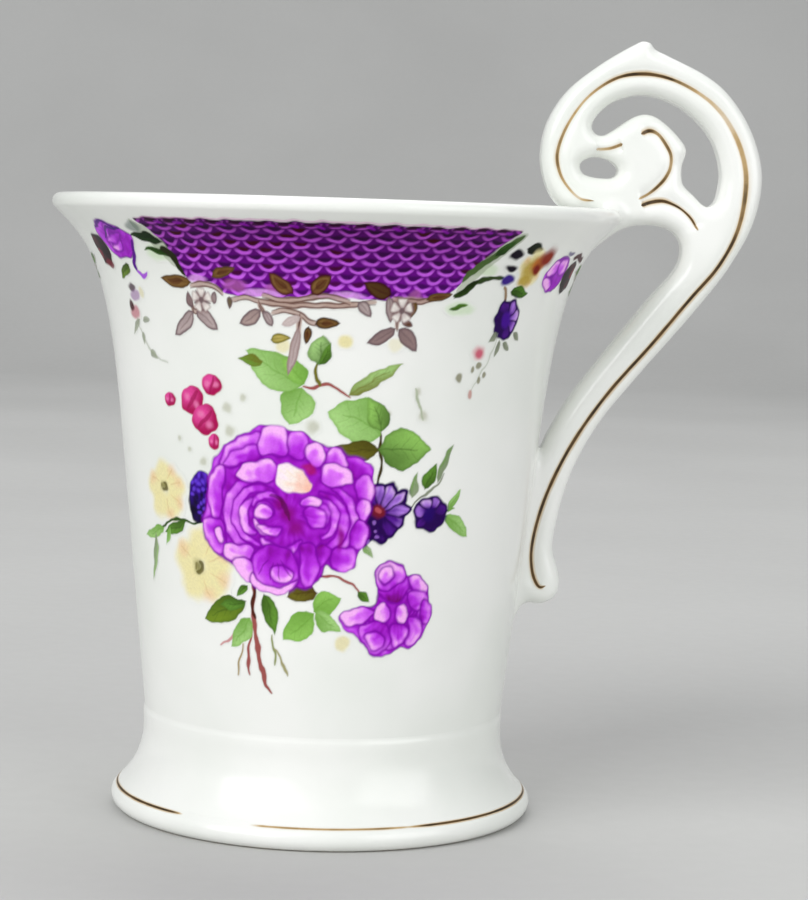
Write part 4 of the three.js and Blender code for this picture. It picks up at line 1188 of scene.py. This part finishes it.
def paint_scrollwork(paint):
    """Taupe leaf scrolls with two small flowers, browner where they lie over the panel."""
    for centre, strength in (((-7.0, 64.0), 0.6), ((1.6, 64.8), 0.8), ((8.6, 64.5), 0.35)):
        paint.wash(centre, (1.3, 1.1), YELLOW * (0.92, 0.9, 0.7), strength)
    paint.washes(SCROLL_SHADES, linear(176, 146, 134), 0.75)
    for line in SCROLL_BANDS:
        paint.stroke(line, 0.75, linear(184, 156, 144), 0.85)
        for rise in (-0.28, 0.28):
            paint.stroke([(x, z + rise) for x, z in line], 0.22, linear(94, 62, 54), 0.9)
    for base, tip, width, dark, light in SCROLL_LEAVES:
        paint.leaf(base, tip, width, dark, light, 0.1 * width, 0, outlined=True)
        if light is BROWN:
            core = np.outer([0.75, 0.2], base) + np.outer([0.25, 0.8], tip)
            paint.leaf(*core, 0.5 * width, DARK_RUST, RUST, 0.1 * width, 0, strength=0.7)
    for centre in SCROLL_FLOWERS:
        for turn in range(18, 378, 72):
            lobe = arc(centre, 1.5, turn - 22, turn + 22, 3)
            paint.petal([centre, *lobe], centre, 0.6, SCROLL_TONES, GREY_BROWN, 0.5)
            gap = [arc(centre, reach, turn + 36, turn + 36, 1)[0] for reach in (0.5, 1.4)]
            paint.stroke(gap, 0.3, UMBER, 0.8)
        paint.wash(centre, 0.55, UMBER, 0.85)


# Green sprays beside the panel: soft ground and stems
SIDE_SHADES = [((-24.4, 75.0), (2.6, 1.3)), ((20.4, 74.1), (2.4, 1.0)), ((17.6, 69.2), (2.8, 1.1))]
SIDE_GROUND = [
    [(23.8, 78.6), (21.6, 76.6), (19.2, 74.2), (16.8, 71.4)],
    [(-26.4, 78.6), (-24.0, 76.4), (-22.0, 73.6)],
]
LEFT_SIDE_STEM = [(-23.6, 75.6), (-22.2, 74.8), (-21.5, 73.4), (-21.0, 72.4)]
RIGHT_SIDE_STEM = [(23.6, 78.5), (22.0, 76.9), (20.2, 75.4), (18.2, 74.0), (17.0, 72.6)]
LOW_SIDE_STEM = [(23.6, 73.2), (20.8, 73.0), (19.0, 72.4), (17.2, 71.2), (16.2, 70.6)]


def paint_panel_leaves(paint):
    """Green sprays along the panel's two slanting sides."""
    paint.washes(SIDE_SHADES, PALE_GREEN, 0.4)
    for line in SIDE_GROUND:
        paint.stroke(line, 1.7, linear(150, 164, 132), 0.6)
    paint.wash((-26.8, 78.1), (1.6, 0.8), linear(90, 110, 104), 0.7)
    paint.leaf((-23.0, 76.2), (-28.4, 76.9), 1.3, linear(8, 26, 8), linear(26, 62, 20), -0.4)
    paint.leaf((-22.0, 74.6), (-27.0, 75.3), 0.9, linear(16, 40, 8), linear(52, 100, 24), -0.3)
    paint.stroke(LEFT_SIDE_STEM, 0.9, linear(34, 40, 16))
    paint.stroke(RIGHT_SIDE_STEM, 1.0, linear(74, 102, 52))
    paint.leaf((20.8, 75.8), (22.8, 77.7), 1.2, linear(20, 44, 10), linear(56, 104, 30))
    paint.stroke(LOW_SIDE_STEM, 0.7, linear(48, 70, 32))
    paint.leaf((19.6, 72.8), (16.2, 70.3), 1.0, linear(8, 22, 4), DEEP_GREEN)
    paint.leaf((16.0, 69.2), (18.9, 69.7), 0.7, DEEP_GREEN, LEAF_GREEN)


# Flower spray: leaves as base, tip, width, dark and light ink and bend, stems as width, ink and line,
# berries and faint buds as centre and radius, and a blue flower
BRIGHT_GREEN = linear(152, 206, 100)
SPRAY_LEAVES = [
    ((-3.4, 59.1), (-10.4, 63.4), 4.8, LEAF_GREEN, PALE_GREEN, 0.3),
    ((-8.4, 62.0), (-11.4, 62.2), 1.6, OLIVE, LEAF_GREEN, 0.0),
    ((-3.2, 59.2), (-6.0, 62.6), 2.4, LEAF_GREEN, BRIGHT_GREEN, -0.2),
    ((-3.6, 58.8), (-5.2, 54.2), 4.6, LEAF_GREEN, PALE_GREEN, 0.2),
    ((-1.7, 61.8), (-1.2, 65.6), 2.9, DEEP_GREEN, PALE_GREEN, 0.0),
    ((-1.5, 61.8), (-0.4, 64.6), 1.2, DEEP_GREEN, LEAF_GREEN, -0.2),
    ((2.0, 58.1), (8.4, 62.3), 1.9, OLIVE, PALE_GREEN, 0.1),
    ((6.1, 53.2), (-0.6, 56.0), 5.8, LEAF_GREEN, PALE_GREEN, -0.7),
    ((6.2, 53.6), (4.4, 57.8), 2.9, DEEP_GREEN, BRIGHT_GREEN, -0.3),
    ((6.3, 51.4), (0.2, 51.4), 2.5, linear(66, 62, 14), OLIVE, 0.2),
    ((6.0, 51.4), (12.8, 51.4), 5.4, DEEP_GREEN, BRIGHT_GREEN, 0.0),
    ((12.4, 46.2), (13.9, 49.4), 1.9, DEEP_GREEN, LEAF_GREEN, 0.1),
    ((14.2, 47.2), (16.0, 52.0), 1.1, GREY_GREEN * 0.6, LEAF_GREEN, 0.1),
    ((10.8, 45.2), (11.2, 48.4), 1.2, GREY_GREEN * 0.7, LEAF_GREEN, 0.0),
    ((16.2, 43.2), (18.0, 46.0), 1.2, LEAF_GREEN, PALE_GREEN, 0.1),
    ((15.8, 42.8), (20.0, 39.8), 1.9, LEAF_GREEN, PALE_GREEN, 0.2),
    ((4.6, 39.6), (5.8, 37.4), 1.1, LEAF_GREEN, GREY_GREEN, 0.0),
    ((-20.4, 40.7), (-25.0, 39.0), 1.6, DEEP_GREEN, LEAF_GREEN, 0.2),
    ((-23.6, 39.6), (-24.6, 37.2), 1.0, LEAF_GREEN, PALE_GREEN, 0.0),
    ((-25.0, 39.6), (-30.0, 38.0), 1.6, LEAF_GREEN, PALE_GREEN, 0.2),
    ((-27.0, 38.6), (-28.9, 32.2), 1.1, GREY_GREEN * 0.5, PALE_GREEN, 0.3),
    ((-11.2, 31.0), (-17.9, 28.2), 3.4, DEEP_GREEN, linear(120, 148, 40), -0.2),
    ((-11.0, 31.2), (-15.0, 30.6), 1.6, DEEP_GREEN, LEAF_GREEN, 0.2),
    ((-10.4, 29.2), (-13.4, 25.2), 2.6, LEAF_GREEN, PALE_GREEN, 0.2),
    ((-8.4, 32.4), (-7.0, 27.2), 2.2, DEEP_GREEN, LEAF_GREEN, 0.2),
    ((-10.8, 33.4), (-12.4, 32.0), 1.3, DEEP_GREEN, LEAF_GREEN, 0.0),
    ((-1.6, 30.2), (-5.9, 26.6), 3.6, LEAF_GREEN, BRIGHT_GREEN, 0.2),
    ((-1.7, 30.4), (2.0, 32.4), 3.2, LEAF_GREEN, BRIGHT_GREEN, 0.4),
    ((-1.4, 30.4), (2.1, 28.0), 2.4, LEAF_GREEN, PALE_GREEN, -0.2),
    ((-1.3, 32.9), (-5.3, 32.2), 2.7, linear(66, 44, 14), OLIVE, -0.3),
    ((4.2, 33.2), (5.8, 31.8), 1.4, DEEP_GREEN, LEAF_GREEN, 0.0),
]
SPRAY_STEMS = [
    (0.45, STEM_RED, [(-3.4, 58.9), (-2.6, 58.9), (-1.4, 59.3), (0.2, 59.1), (1.3, 58.3), (2.1, 57.9)]),
    (0.45, OLIVE, [(-1.7, 62.2), (-2.0, 60.6), (-1.5, 59.2)]),
    (0.42, linear(60, 50, 16), [(5.0, 55.0), (6.0, 53.4), (6.2, 51.2), (6.4, 48.8), (6.0, 46.6)]),
    (0.40, STEM_RED, [(-1.2, 35.0), (0.4, 35.1), (2.0, 34.8), (3.6, 34.0), (4.8, 32.8)]),
    (0.72, STEM_RED, [
        (-9.9, 33.6), (-10.0, 29.4), (-9.5, 26.0), (-9.1, 23.4), (-8.6, 22.0), (-8.2, 20.6), (-7.5, 19.6),
    ]),
    (0.55, linear(80, 36, 24), [(-9.7, 33.4), (-10.1, 31.0), (-9.8, 29.2)]),
    (0.45, STEM_RED, [(-10.2, 28.0), (-10.7, 25.0), (-10.9, 22.8), (-10.6, 21.6)]),
    (0.36, linear(168, 150, 110), [(-11.6, 25.6), (-12.1, 23.6), (-12.5, 21.6)]),
    (0.36, linear(140, 150, 96), [(-7.4, 27.2), (-7.0, 25.2), (-6.9, 23.2)]),
    (0.34, linear(160, 156, 110), [(-6.9, 25.4), (-5.9, 23.6), (-5.0, 22.0)]),
    (0.40, linear(206, 150, 150), [(-15.2, 25.3), (-13.8, 26.0), (-12.8, 26.9)]),
    (0.42, DEEP_GREEN, [(-17.6, 40.9), (-20.0, 40.7), (-22.0, 41.0), (-23.8, 40.4), (-25.4, 39.6)]),
    (0.32, GREY_GREEN * 0.6, [(9.8, 43.2), (12.0, 45.2), (14.0, 46.6), (15.2, 48.2)]),
    (0.32, LEAF_GREEN, [(14.6, 43.6), (16.2, 43.4), (17.4, 43.6)]),
    (0.34, GREY_GREEN, [(10.0, 59.0), (10.8, 57.2), (11.4, 55.0)]),
]
SPRAY_BERRIES = [
    ((-22.1, 56.4), 1.0), ((-18.3, 56.5), 1.85), ((-16.4, 54.2), 1.95), ((-15.2, 58.7), 1.4),
    ((-15.2, 51.4), 0.95),
]
FAINT_BUDS = [
    ((10.4, 58.6), 0.7), ((11.4, 55.6), 1.0), ((6.8, 55.9), 0.7), ((-13.2, 55.9), 0.9),
    ((-12.8, 53.0), 1.0), ((-11.0, 57.4), 0.7), ((-20.8, 51.4), 0.6), ((-19.2, 50.2), 0.6),
    ((-2.2, 54.0), 1.2), ((-17.0, 48.8), 0.9),
]
BLUE_FLOWER = [
    (-19.5, 43.0), (-19.2, 45.8), (-18.2, 47.3), (-16.4, 47.2), (-15.8, 45), (-16.2, 42.2), (-17.4, 40.9),
    (-18.9, 41.2),
]
BLUE_TONES = [(0, NAVY), (0.4, linear(54, 8, 140)), (0.7, linear(104, 56, 224))]
BLUE_FLORETS = 24


def paint_berry(paint, centre, radius):
    """Pink fruit of two lobes with a crimson crease between them."""
    paint.berry(centre, radius, CRIMSON, ROSE_PINK)
    tilt = 70 + 25 * math.sin(7 * centre[0])
    for side in (90, 270):
        lobe = arc(centre, radius * 0.46, tilt + side, tilt + side, 1)[0]
        paint.wash(lobe, radius * 0.4, linear(238, 132, 184), 0.75, 0.9)
    crease = [arc(centre, radius * 0.75, tilt + turn, tilt + turn, 1)[0] for turn in (0, 180)]
    paint.stroke([crease[0], np.add(centre, 0.12 * radius), crease[1]], 0.3 * radius, CRIMSON * 0.8, 0.7)


def paint_spray(paint):
    """The large flower spray on the straight wall."""
    paint.washes(FAINT_BUDS, linear(166, 168, 136), 0.55, 0.8)
    paint.wash((2.4, 26.4), (1.2, 1.3), YELLOW * 0.9, 0.8)
    paint_yellow_flower(paint, (-24.2, 44.4), 4.3, (-24.4, 45.0))
    paint_yellow_flower(paint, (-17.8, 35.3), 5.4, (-18.4, 35.1))
    for width, colour, line in SPRAY_STEMS:
        paint.stroke(line, width, colour)
    for leaf in SPRAY_LEAVES:
        paint.leaf(*leaf)
    for centre, radius in SPRAY_BERRIES:
        paint_berry(paint, centre, radius)
    paint.petal(BLUE_FLOWER, (-18.6, 41.6), 0.3, BLUE_TONES, NAVY, 0.5)
    for i in range(BLUE_FLORETS):
        reach, turn = math.sqrt((i + 0.5) / BLUE_FLORETS), math.radians(137.5 * i)
        place = (-17.6 + 1.6 * reach * math.cos(turn), 44.4 + 2.8 * reach * math.sin(turn))
        paint.wash(place, 0.42, linear(104, 62, 222) if i % 4 else NAVY, 0.8, 0.8)
    paint_aster(paint, (6.5, 43.4), 4.6, 12, 230)
    for i in range(7):
        spread = 1 + 0.1 * i
        place = (5.2 + 0.9 * math.cos(2.4 * i) * spread, 41.0 + 1.1 * math.sin(2.4 * i) * spread)
        paint.wash(place, 0.34, LAVENDER, 0.6)
    paint.wash((6.4, 43.5), 1.1, linear(120, 24, 40), 0.95)
    paint.wash((6.3, 43.6), 0.5, linear(186, 84, 92), 0.9)
    paint_aster(paint, (13.6, 43.2), 2.7, 7, 300)
    paint.wash((13.4, 43.0), (1.2, 1.2), INDIGO, 0.9)
    paint_rose(paint, BUD_HEART, BUD_GROUND, BUD_ROLLS, BUD_PETALS)
    paint_big_rose(paint)


# Garlands: each has a small rose as heart, outline, rolled petals and outer petals, hanging leaves as base
# and tip, and a stem
RIGHT_ROSE = (
    (35.2, 73.8),
    [
        (32.0, 73.6), (33.4, 75.4), (35.4, 76.0), (37.6, 75.2), (37.8, 73.2), (36.2, 71.8), (34.0, 71.4),
        (32.4, 72.2),
    ],
    [((35.2, 73.8), 1.0, 0.8, 20, 200, 0.6)],
    [
        (0.78, [(32.4, 74.0), (33.6, 75.4), (35.0, 75.2), (34.8, 74.0), (33.4, 73.4)]),
        (0.62, [(35.0, 74.4), (35.2, 75.6), (36.8, 75.4), (37.4, 74.0), (36.2, 73.6)]),
        (0.9, [(32.4, 73.0), (33.8, 73.2), (35.0, 72.4), (34.0, 71.6), (32.6, 72.2)]),
    ],
)
RIGHT_LEAVES = [
    ((25, 66), (23.4, 65)), ((25.6, 65.2), (25.2, 63)), ((26.6, 64.8), (28, 63.9)),
    ((28.4, 66.2), (29.9, 65)),
]
RIGHT_STEM = [(25.2, 66.0), (24.4, 63.6), (23.4, 61.8), (22.4, 60.4), (21.4, 58.6)]
RIGHT_BUDS = [
    ((22.4, 61.9), 0.6), ((21.3, 61.6), 0.5), ((23.7, 60.8), 0.5), ((22.6, 60.2), 0.5), ((19.0, 60.4), 0.7),
]
LEFT_ROSE = (
    (-31.0, 75.6),
    [
        (-36.0, 77.2), (-33.4, 78.9), (-30.6, 78.2), (-28.2, 76.8), (-29.4, 74.8), (-32.6, 74.1),
        (-34.8, 75.0),
    ],
    [((-31, 75.4), 2.4, 0.9, 90, 190, 0.5), ((-31, 75.4), 1.2, 0.9, 90, 190, 0.4)],
    [
        (0.42, [(-34.4, 76.2), (-32.4, 77.0), (-30.4, 77.2), (-31.6, 75.8)]),
        (0.66, [(-33.6, 75.2), (-32.4, 76.0), (-31.0, 76.2), (-31.6, 75.1)]),
    ],
)
LEFT_FOLDS = [
    [(-35.4, 77.8), (-33.2, 78.7), (-31.0, 78.1)],
    [(-34.6, 76.6), (-32.6, 77.8), (-29.6, 77.8)],
]
LEFT_LEAVES = [
    ((-31.8, 66.4), (-34.2, 64.4)), ((-31.2, 66.2), (-29.2, 66.4)), ((-31.6, 64.8), (-31.4, 63.0)),
    ((-30.2, 62.4), (-28.6, 61.4)),
]
LEFT_STEM = [(-32.6, 66.6), (-31.8, 64.6), (-30.4, 62.6), (-28.6, 61.6), (-26.4, 61.1)]

# Leaves at the garlands' ends as base, tip, width and bend, from the middle of the side
END_LEAVES = [((8.0, 74.2), (4.2, 73.7), 1.5, 0.2), ((3.4, 72.0), (6.4, 71.2), 1.2, 0.1)]


def paint_garland_right(paint):
    """Small flowers that hang from the panel's right end towards the handle."""
    paint.washes([((24.3, 76.1), (1.4, 0.75)), ((24.4, 74.4), (1.5, 0.6))], linear(8, 4, 24), 1.0)
    paint.wash((24.5, 72.9), (1.4, 0.9), linear(60, 36, 136), 1.0)
    paint.leaf((25.4, 77.0), (28.6, 76.8), 1.5, linear(4, 10, 2), linear(16, 36, 8))
    paint_yellow_flower(paint, (28.4, 74.4), 2.7, (29.4, 74.5))
    paint.washes([((28.2, 74.4), (2.4, 1.9)), ((27.8, 72.8), (2.0, 1.0))], linear(184, 156, 56), 0.9, 0.7)
    paint.wash((29.4, 74.9), (2.0, 1.5), linear(188, 104, 34), 0.95, 0.8)
    paint.wash((30.7, 75.8), (1.9, 1.7), linear(140, 38, 14), 1.0, 0.7)
    paint.wash((29.4, 74.3), (1.2, 0.8), linear(126, 24, 8), 1.0, 0.7)
    paint_rose(paint, *RIGHT_ROSE)
    paint.wash((36.6, 76.4), (1.4, 0.4), INDIGO, 0.8)
    paint_aster(paint, (40.0, 73.4), 2.3, 5, 200, WINE_TONES)
    paint.stroke([(38.6, 76.0), (40.6, 76.0), (43.4, 75.4)], 0.9, MAROON)
    paint.leaf((25.8, 71.5), (29.4, 71.2), 1.7, linear(24, 52, 8), linear(84, 136, 40))
    paint.stroke([(24.3, 72.0), (24.9, 71.0), (25.2, 69.8)], 0.6, BROWN, 0.9)
    paint_aster(paint, (26.4, 67.8), 2.9, 7, 200)
    paint.wash((26.2, 67.8), (1.3, 1.2), linear(70, 10, 150), 0.9)
    for base, tip in RIGHT_LEAVES:
        paint.leaf(base, tip, 1.0, GREY_GREEN * 0.4, GREY_GREEN * 0.8, veins=0)
    paint.stroke(RIGHT_STEM, 0.25, GREY_GREEN * 0.8, 0.5)
    paint.wash((22.0, 63.6), (1.5, 1.2), linear(206, 84, 110), 0.95, 0.8)
    paint.washes(RIGHT_BUDS, OLIVE * 0.8, 0.75)
    paint.wash((21.3, 58.3), 0.6, linear(190, 130, 120), 0.8)


def paint_garland_left(paint):
    """Small flowers that hang from the panel's left end."""
    paint_rose(paint, *LEFT_ROSE)
    for line in LEFT_FOLDS:
        paint.stroke(line, 0.4, INDIGO, 0.85)
    paint.stroke([(-28.6, 76.4), (-29.2, 74.8), (-30.0, 73.6), (-29.8, 72.4)], 0.8, linear(88, 8, 140))
    paint.stroke([(-29.8, 72.4), (-28.8, 71.9), (-27.8, 72.4)], 0.7, linear(170, 90, 220))
    paint_aster(paint, (-37.6, 75.0), 2.3, 5, 20, WINE_TONES)
    paint.wash((-37.0, 73.3), (1.7, 0.7), linear(110, 8, 34), 0.95)
    paint.leaf((-31.6, 73.2), (-34.6, 71.6), 1.5, linear(30, 52, 10), linear(116, 150, 50))
    paint.wash((-32.4, 70.4), (1.3, 0.6), linear(70, 40, 60), 0.9)
    paint.wash((-32.0, 69.4), (1.5, 0.9), linear(160, 120, 170), 0.75)
    paint.wash((-30.2, 69.8), (0.8, 0.9), YELLOW * 0.8, 0.6)
    paint.wash((-32.8, 67.2), (1.6, 1.1), linear(196, 130, 140), 0.9)
    paint.wash((-33.5, 68.1), 0.8, MAROON, 0.95)
    for base, tip in LEFT_LEAVES:
        paint.leaf(base, tip, 1.0, GREY_GREEN * 0.5, GREY_GREEN * 0.9, veins=0, strength=0.85)
    paint.stroke(LEFT_STEM, 0.3, GREY_GREEN * 0.8, 0.6)


def paint_garland_ends(paint):
    """Leaves that carry the garland on round the side, where the photograph doesn't reach."""
    for middle in (PANEL_RADIUS * math.pi / 2, -PANEL_RADIUS * math.pi / 2):
        paint.stroke([(middle + s, 72 + s * s / 34) for s in (-8.7, -4.3, 0, 4.3, 8.7)], 0.34, OLIVE)
        for step in (-1, 1):
            for *ends, width, bend in END_LEAVES:
                base, tip = [(middle + x * step, z) for x, z in ends]
                paint.leaf(base, tip, width, DEEP_GREEN, LEAF_GREEN, bend)
            paint_berry(paint, (middle + 2.9 * step, 72.8), 0.75)
        paint_yellow_flower(paint, (middle, 72.8), 2.2, (middle, 72.8))


def paint_cup():
    paint = Print()
    paint.on_radius(PANEL_RADIUS, wander=0.4)
    paint_panel(paint)
    paint.on_radius(PANEL_RADIUS, wander=0.6)
    paint_panel_leaves(paint)
    paint_garland_right(paint)
    paint_garland_left(paint)
    paint_garland_ends(paint)
    paint.on_radius(SPRAY_RADIUS, wander=0.6)
    paint_spray(paint)
    paint.on_radius(PANEL_RADIUS, wander=0.3)
    paint_scrollwork(paint)
    return paint


def add_print(paint, material):
    """Thin sheets where there is ink, one for each CAD film, the back ones turned half round."""
    inked = paint.cover > LEAST_COVER
    cells = inked[:-1, :-1] | inked[1:, :-1] | inked[:-1, 1:] | inked[1:, 1:]
    across, height = np.meshgrid(np.degrees(paint.angle[:-1]), paint.height[:-1])
    high = height > GARLAND_LOW
    right = cells & high & (across > np.where(height > PANEL_RIGHT_LOW, PANEL_RIGHT, GARLAND_RIGHT))
    left = cells & high & (across < GARLAND_LEFT)
    upper = cells & high & ~left & ~right & ((height > PANEL_LOW) | (np.abs(across) > PANEL_SIDE))
    lower = cells & ~(left | right | upper)
    for turn, face in ((0, "front"), (180, "back")):
        add_film(paint, f"scale_panel_{face}", "scale_enamel", material, (upper, turn))
        add_film(paint, f"bouquet_{face}", "flower_enamel", material, (lower, turn))
    add_film(paint, "garland_handle_side", "garland_enamel", material, (right, 0), (left, 180))
    add_film(paint, "garland_far_side", "garland_enamel", material, (left, 0), (right, 180))


def add_film(paint, name, slot, material, *parts):
    """Sheet of the print's marked cells, each part turned about the axis, with a flat map of its grid."""
    vertices, faces, inks, flat = [], [], [], []
    start = 0
    for part, (cells, degrees) in enumerate(parts):
        used = np.zeros(paint.cover.shape, bool)
        for rows in (slice(None, -1), slice(1, None)):
            for columns in (slice(None, -1), slice(1, None)):
                used[rows, columns] |= cells
        number = np.full(used.shape, -1)
        number[used] = start + np.arange(used.sum())
        row, column = np.nonzero(used)
        height = paint.height[row]
        angle = paint.angle[column] + math.radians(degrees)
        vertices.append(turned(wall_radius(height) + PRINT_LIFT, angle, height))
        corners = number[:-1, :-1], number[:-1, 1:], number[1:, 1:], number[1:, :-1]
        faces.append(np.stack(corners, -1)[cells])
        inks.append(np.column_stack([paint.colour[used], paint.cover[used]]))
        place = np.stack([column, row], 1) - (column.min(), row.min())
        flat.append((part * 0.5 + 0.01, 0.01) + place / place.max(0) * (0.98 / len(parts) - 0.01, 0.98))
        start += used.sum()
    piece = add_piece(name, np.vstack(vertices), np.vstack(faces), material, slot, name)
    ink = piece.data.color_attributes.new("ink", "FLOAT_COLOR", "POINT")
    ink.data.foreach_set("color", np.vstack(inks).astype(np.float32).ravel())
    corner = np.empty(len(piece.data.loops), np.int32)
    piece.data.loops.foreach_get("vertex_index", corner)
    flat = np.vstack(flat)[corner].astype(np.float32)
    piece.data.uv_layers.new(name="OFBake").data.foreach_set("uv", flat.ravel())


# Stage

def add_backdrop():
    """Pale floor that sweeps up behind the cup."""
    sweep = arc((BACKDROP_START, BACKDROP_BEND), BACKDROP_BEND, -90, 0, 16)
    side = [(-BACKDROP_REACH, 0), *sweep, (BACKDROP_START + BACKDROP_BEND, BACKDROP_RISE)]
    points = np.array([(x, y, z) for x in (-2 * BACKDROP_REACH, 2 * BACKDROP_REACH) for y, z in side]) * MM
    count = len(side)
    mesh = bpy.data.meshes.new("backdrop")
    mesh.from_pydata(points.tolist(), [], [(i, i + count, i + count + 1, i + 1) for i in range(count - 1)])
    mesh.shade_smooth()
    mesh.materials.append(backdrop_material())
    floor = bpy.data.objects.new("backdrop", mesh)
    bpy.context.scene.collection.objects.link(floor)


def add_light(name, place, size, power):
    """Soft square lamp that points at the middle of the cup."""
    data = bpy.data.lights.new(name, "AREA")
    data.size = size
    data.energy = power
    lamp = bpy.data.objects.new(name, data)
    turn = (Vector(place) - Vector(LAMP_TARGET)).to_track_quat("Z", "Y")
    lamp.matrix_world = Matrix.Translation(place) @ turn.to_matrix().to_4x4()
    bpy.context.scene.collection.objects.link(lamp)


def light_stage():
    for lamp in LAMPS:
        add_light(*lamp)
    world = bpy.data.worlds.new("studio")
    world.use_nodes = True
    sky = world.node_tree.nodes["Background"]
    sky.inputs["Color"].default_value = SKY_COLOUR
    sky.inputs["Strength"].default_value = SKY_STRENGTH
    bpy.context.scene.world = world
    bpy.context.scene.view_settings.view_transform = "Standard"


def add_cup():
    porcelain = porcelain_material()
    gilding = gilding_material()
    add_piece("beaker", *lathe(beaker_profile()), porcelain, "porcelain", "beaker")
    add_piece("foot", *lathe(foot_profile()), foot_material(), "porcelain", "foot", "foot_slip")
    field = make_handle_field()
    side = HANDLE_DEPTH / 2 + SKIRT_REACH + 2 * NET_STEP
    low = (NET_LOW[0], -side, NET_LOW[1])
    high = (NET_HIGH[0], side + NET_STEP, NET_HIGH[1])
    points, faces = surface_net(field, low, high, NET_STEP)
    points = settle(points, field)
    add_piece("handle", points, faces, porcelain, "porcelain", "handle", "rim_slip", "root_slip")
    add_handle_gilding(field, gilding)
    add_foot_gilding(gilding)
    add_print(paint_cup(), enamel_material())


make_camera()
add_cup()
add_backdrop()
light_stage()
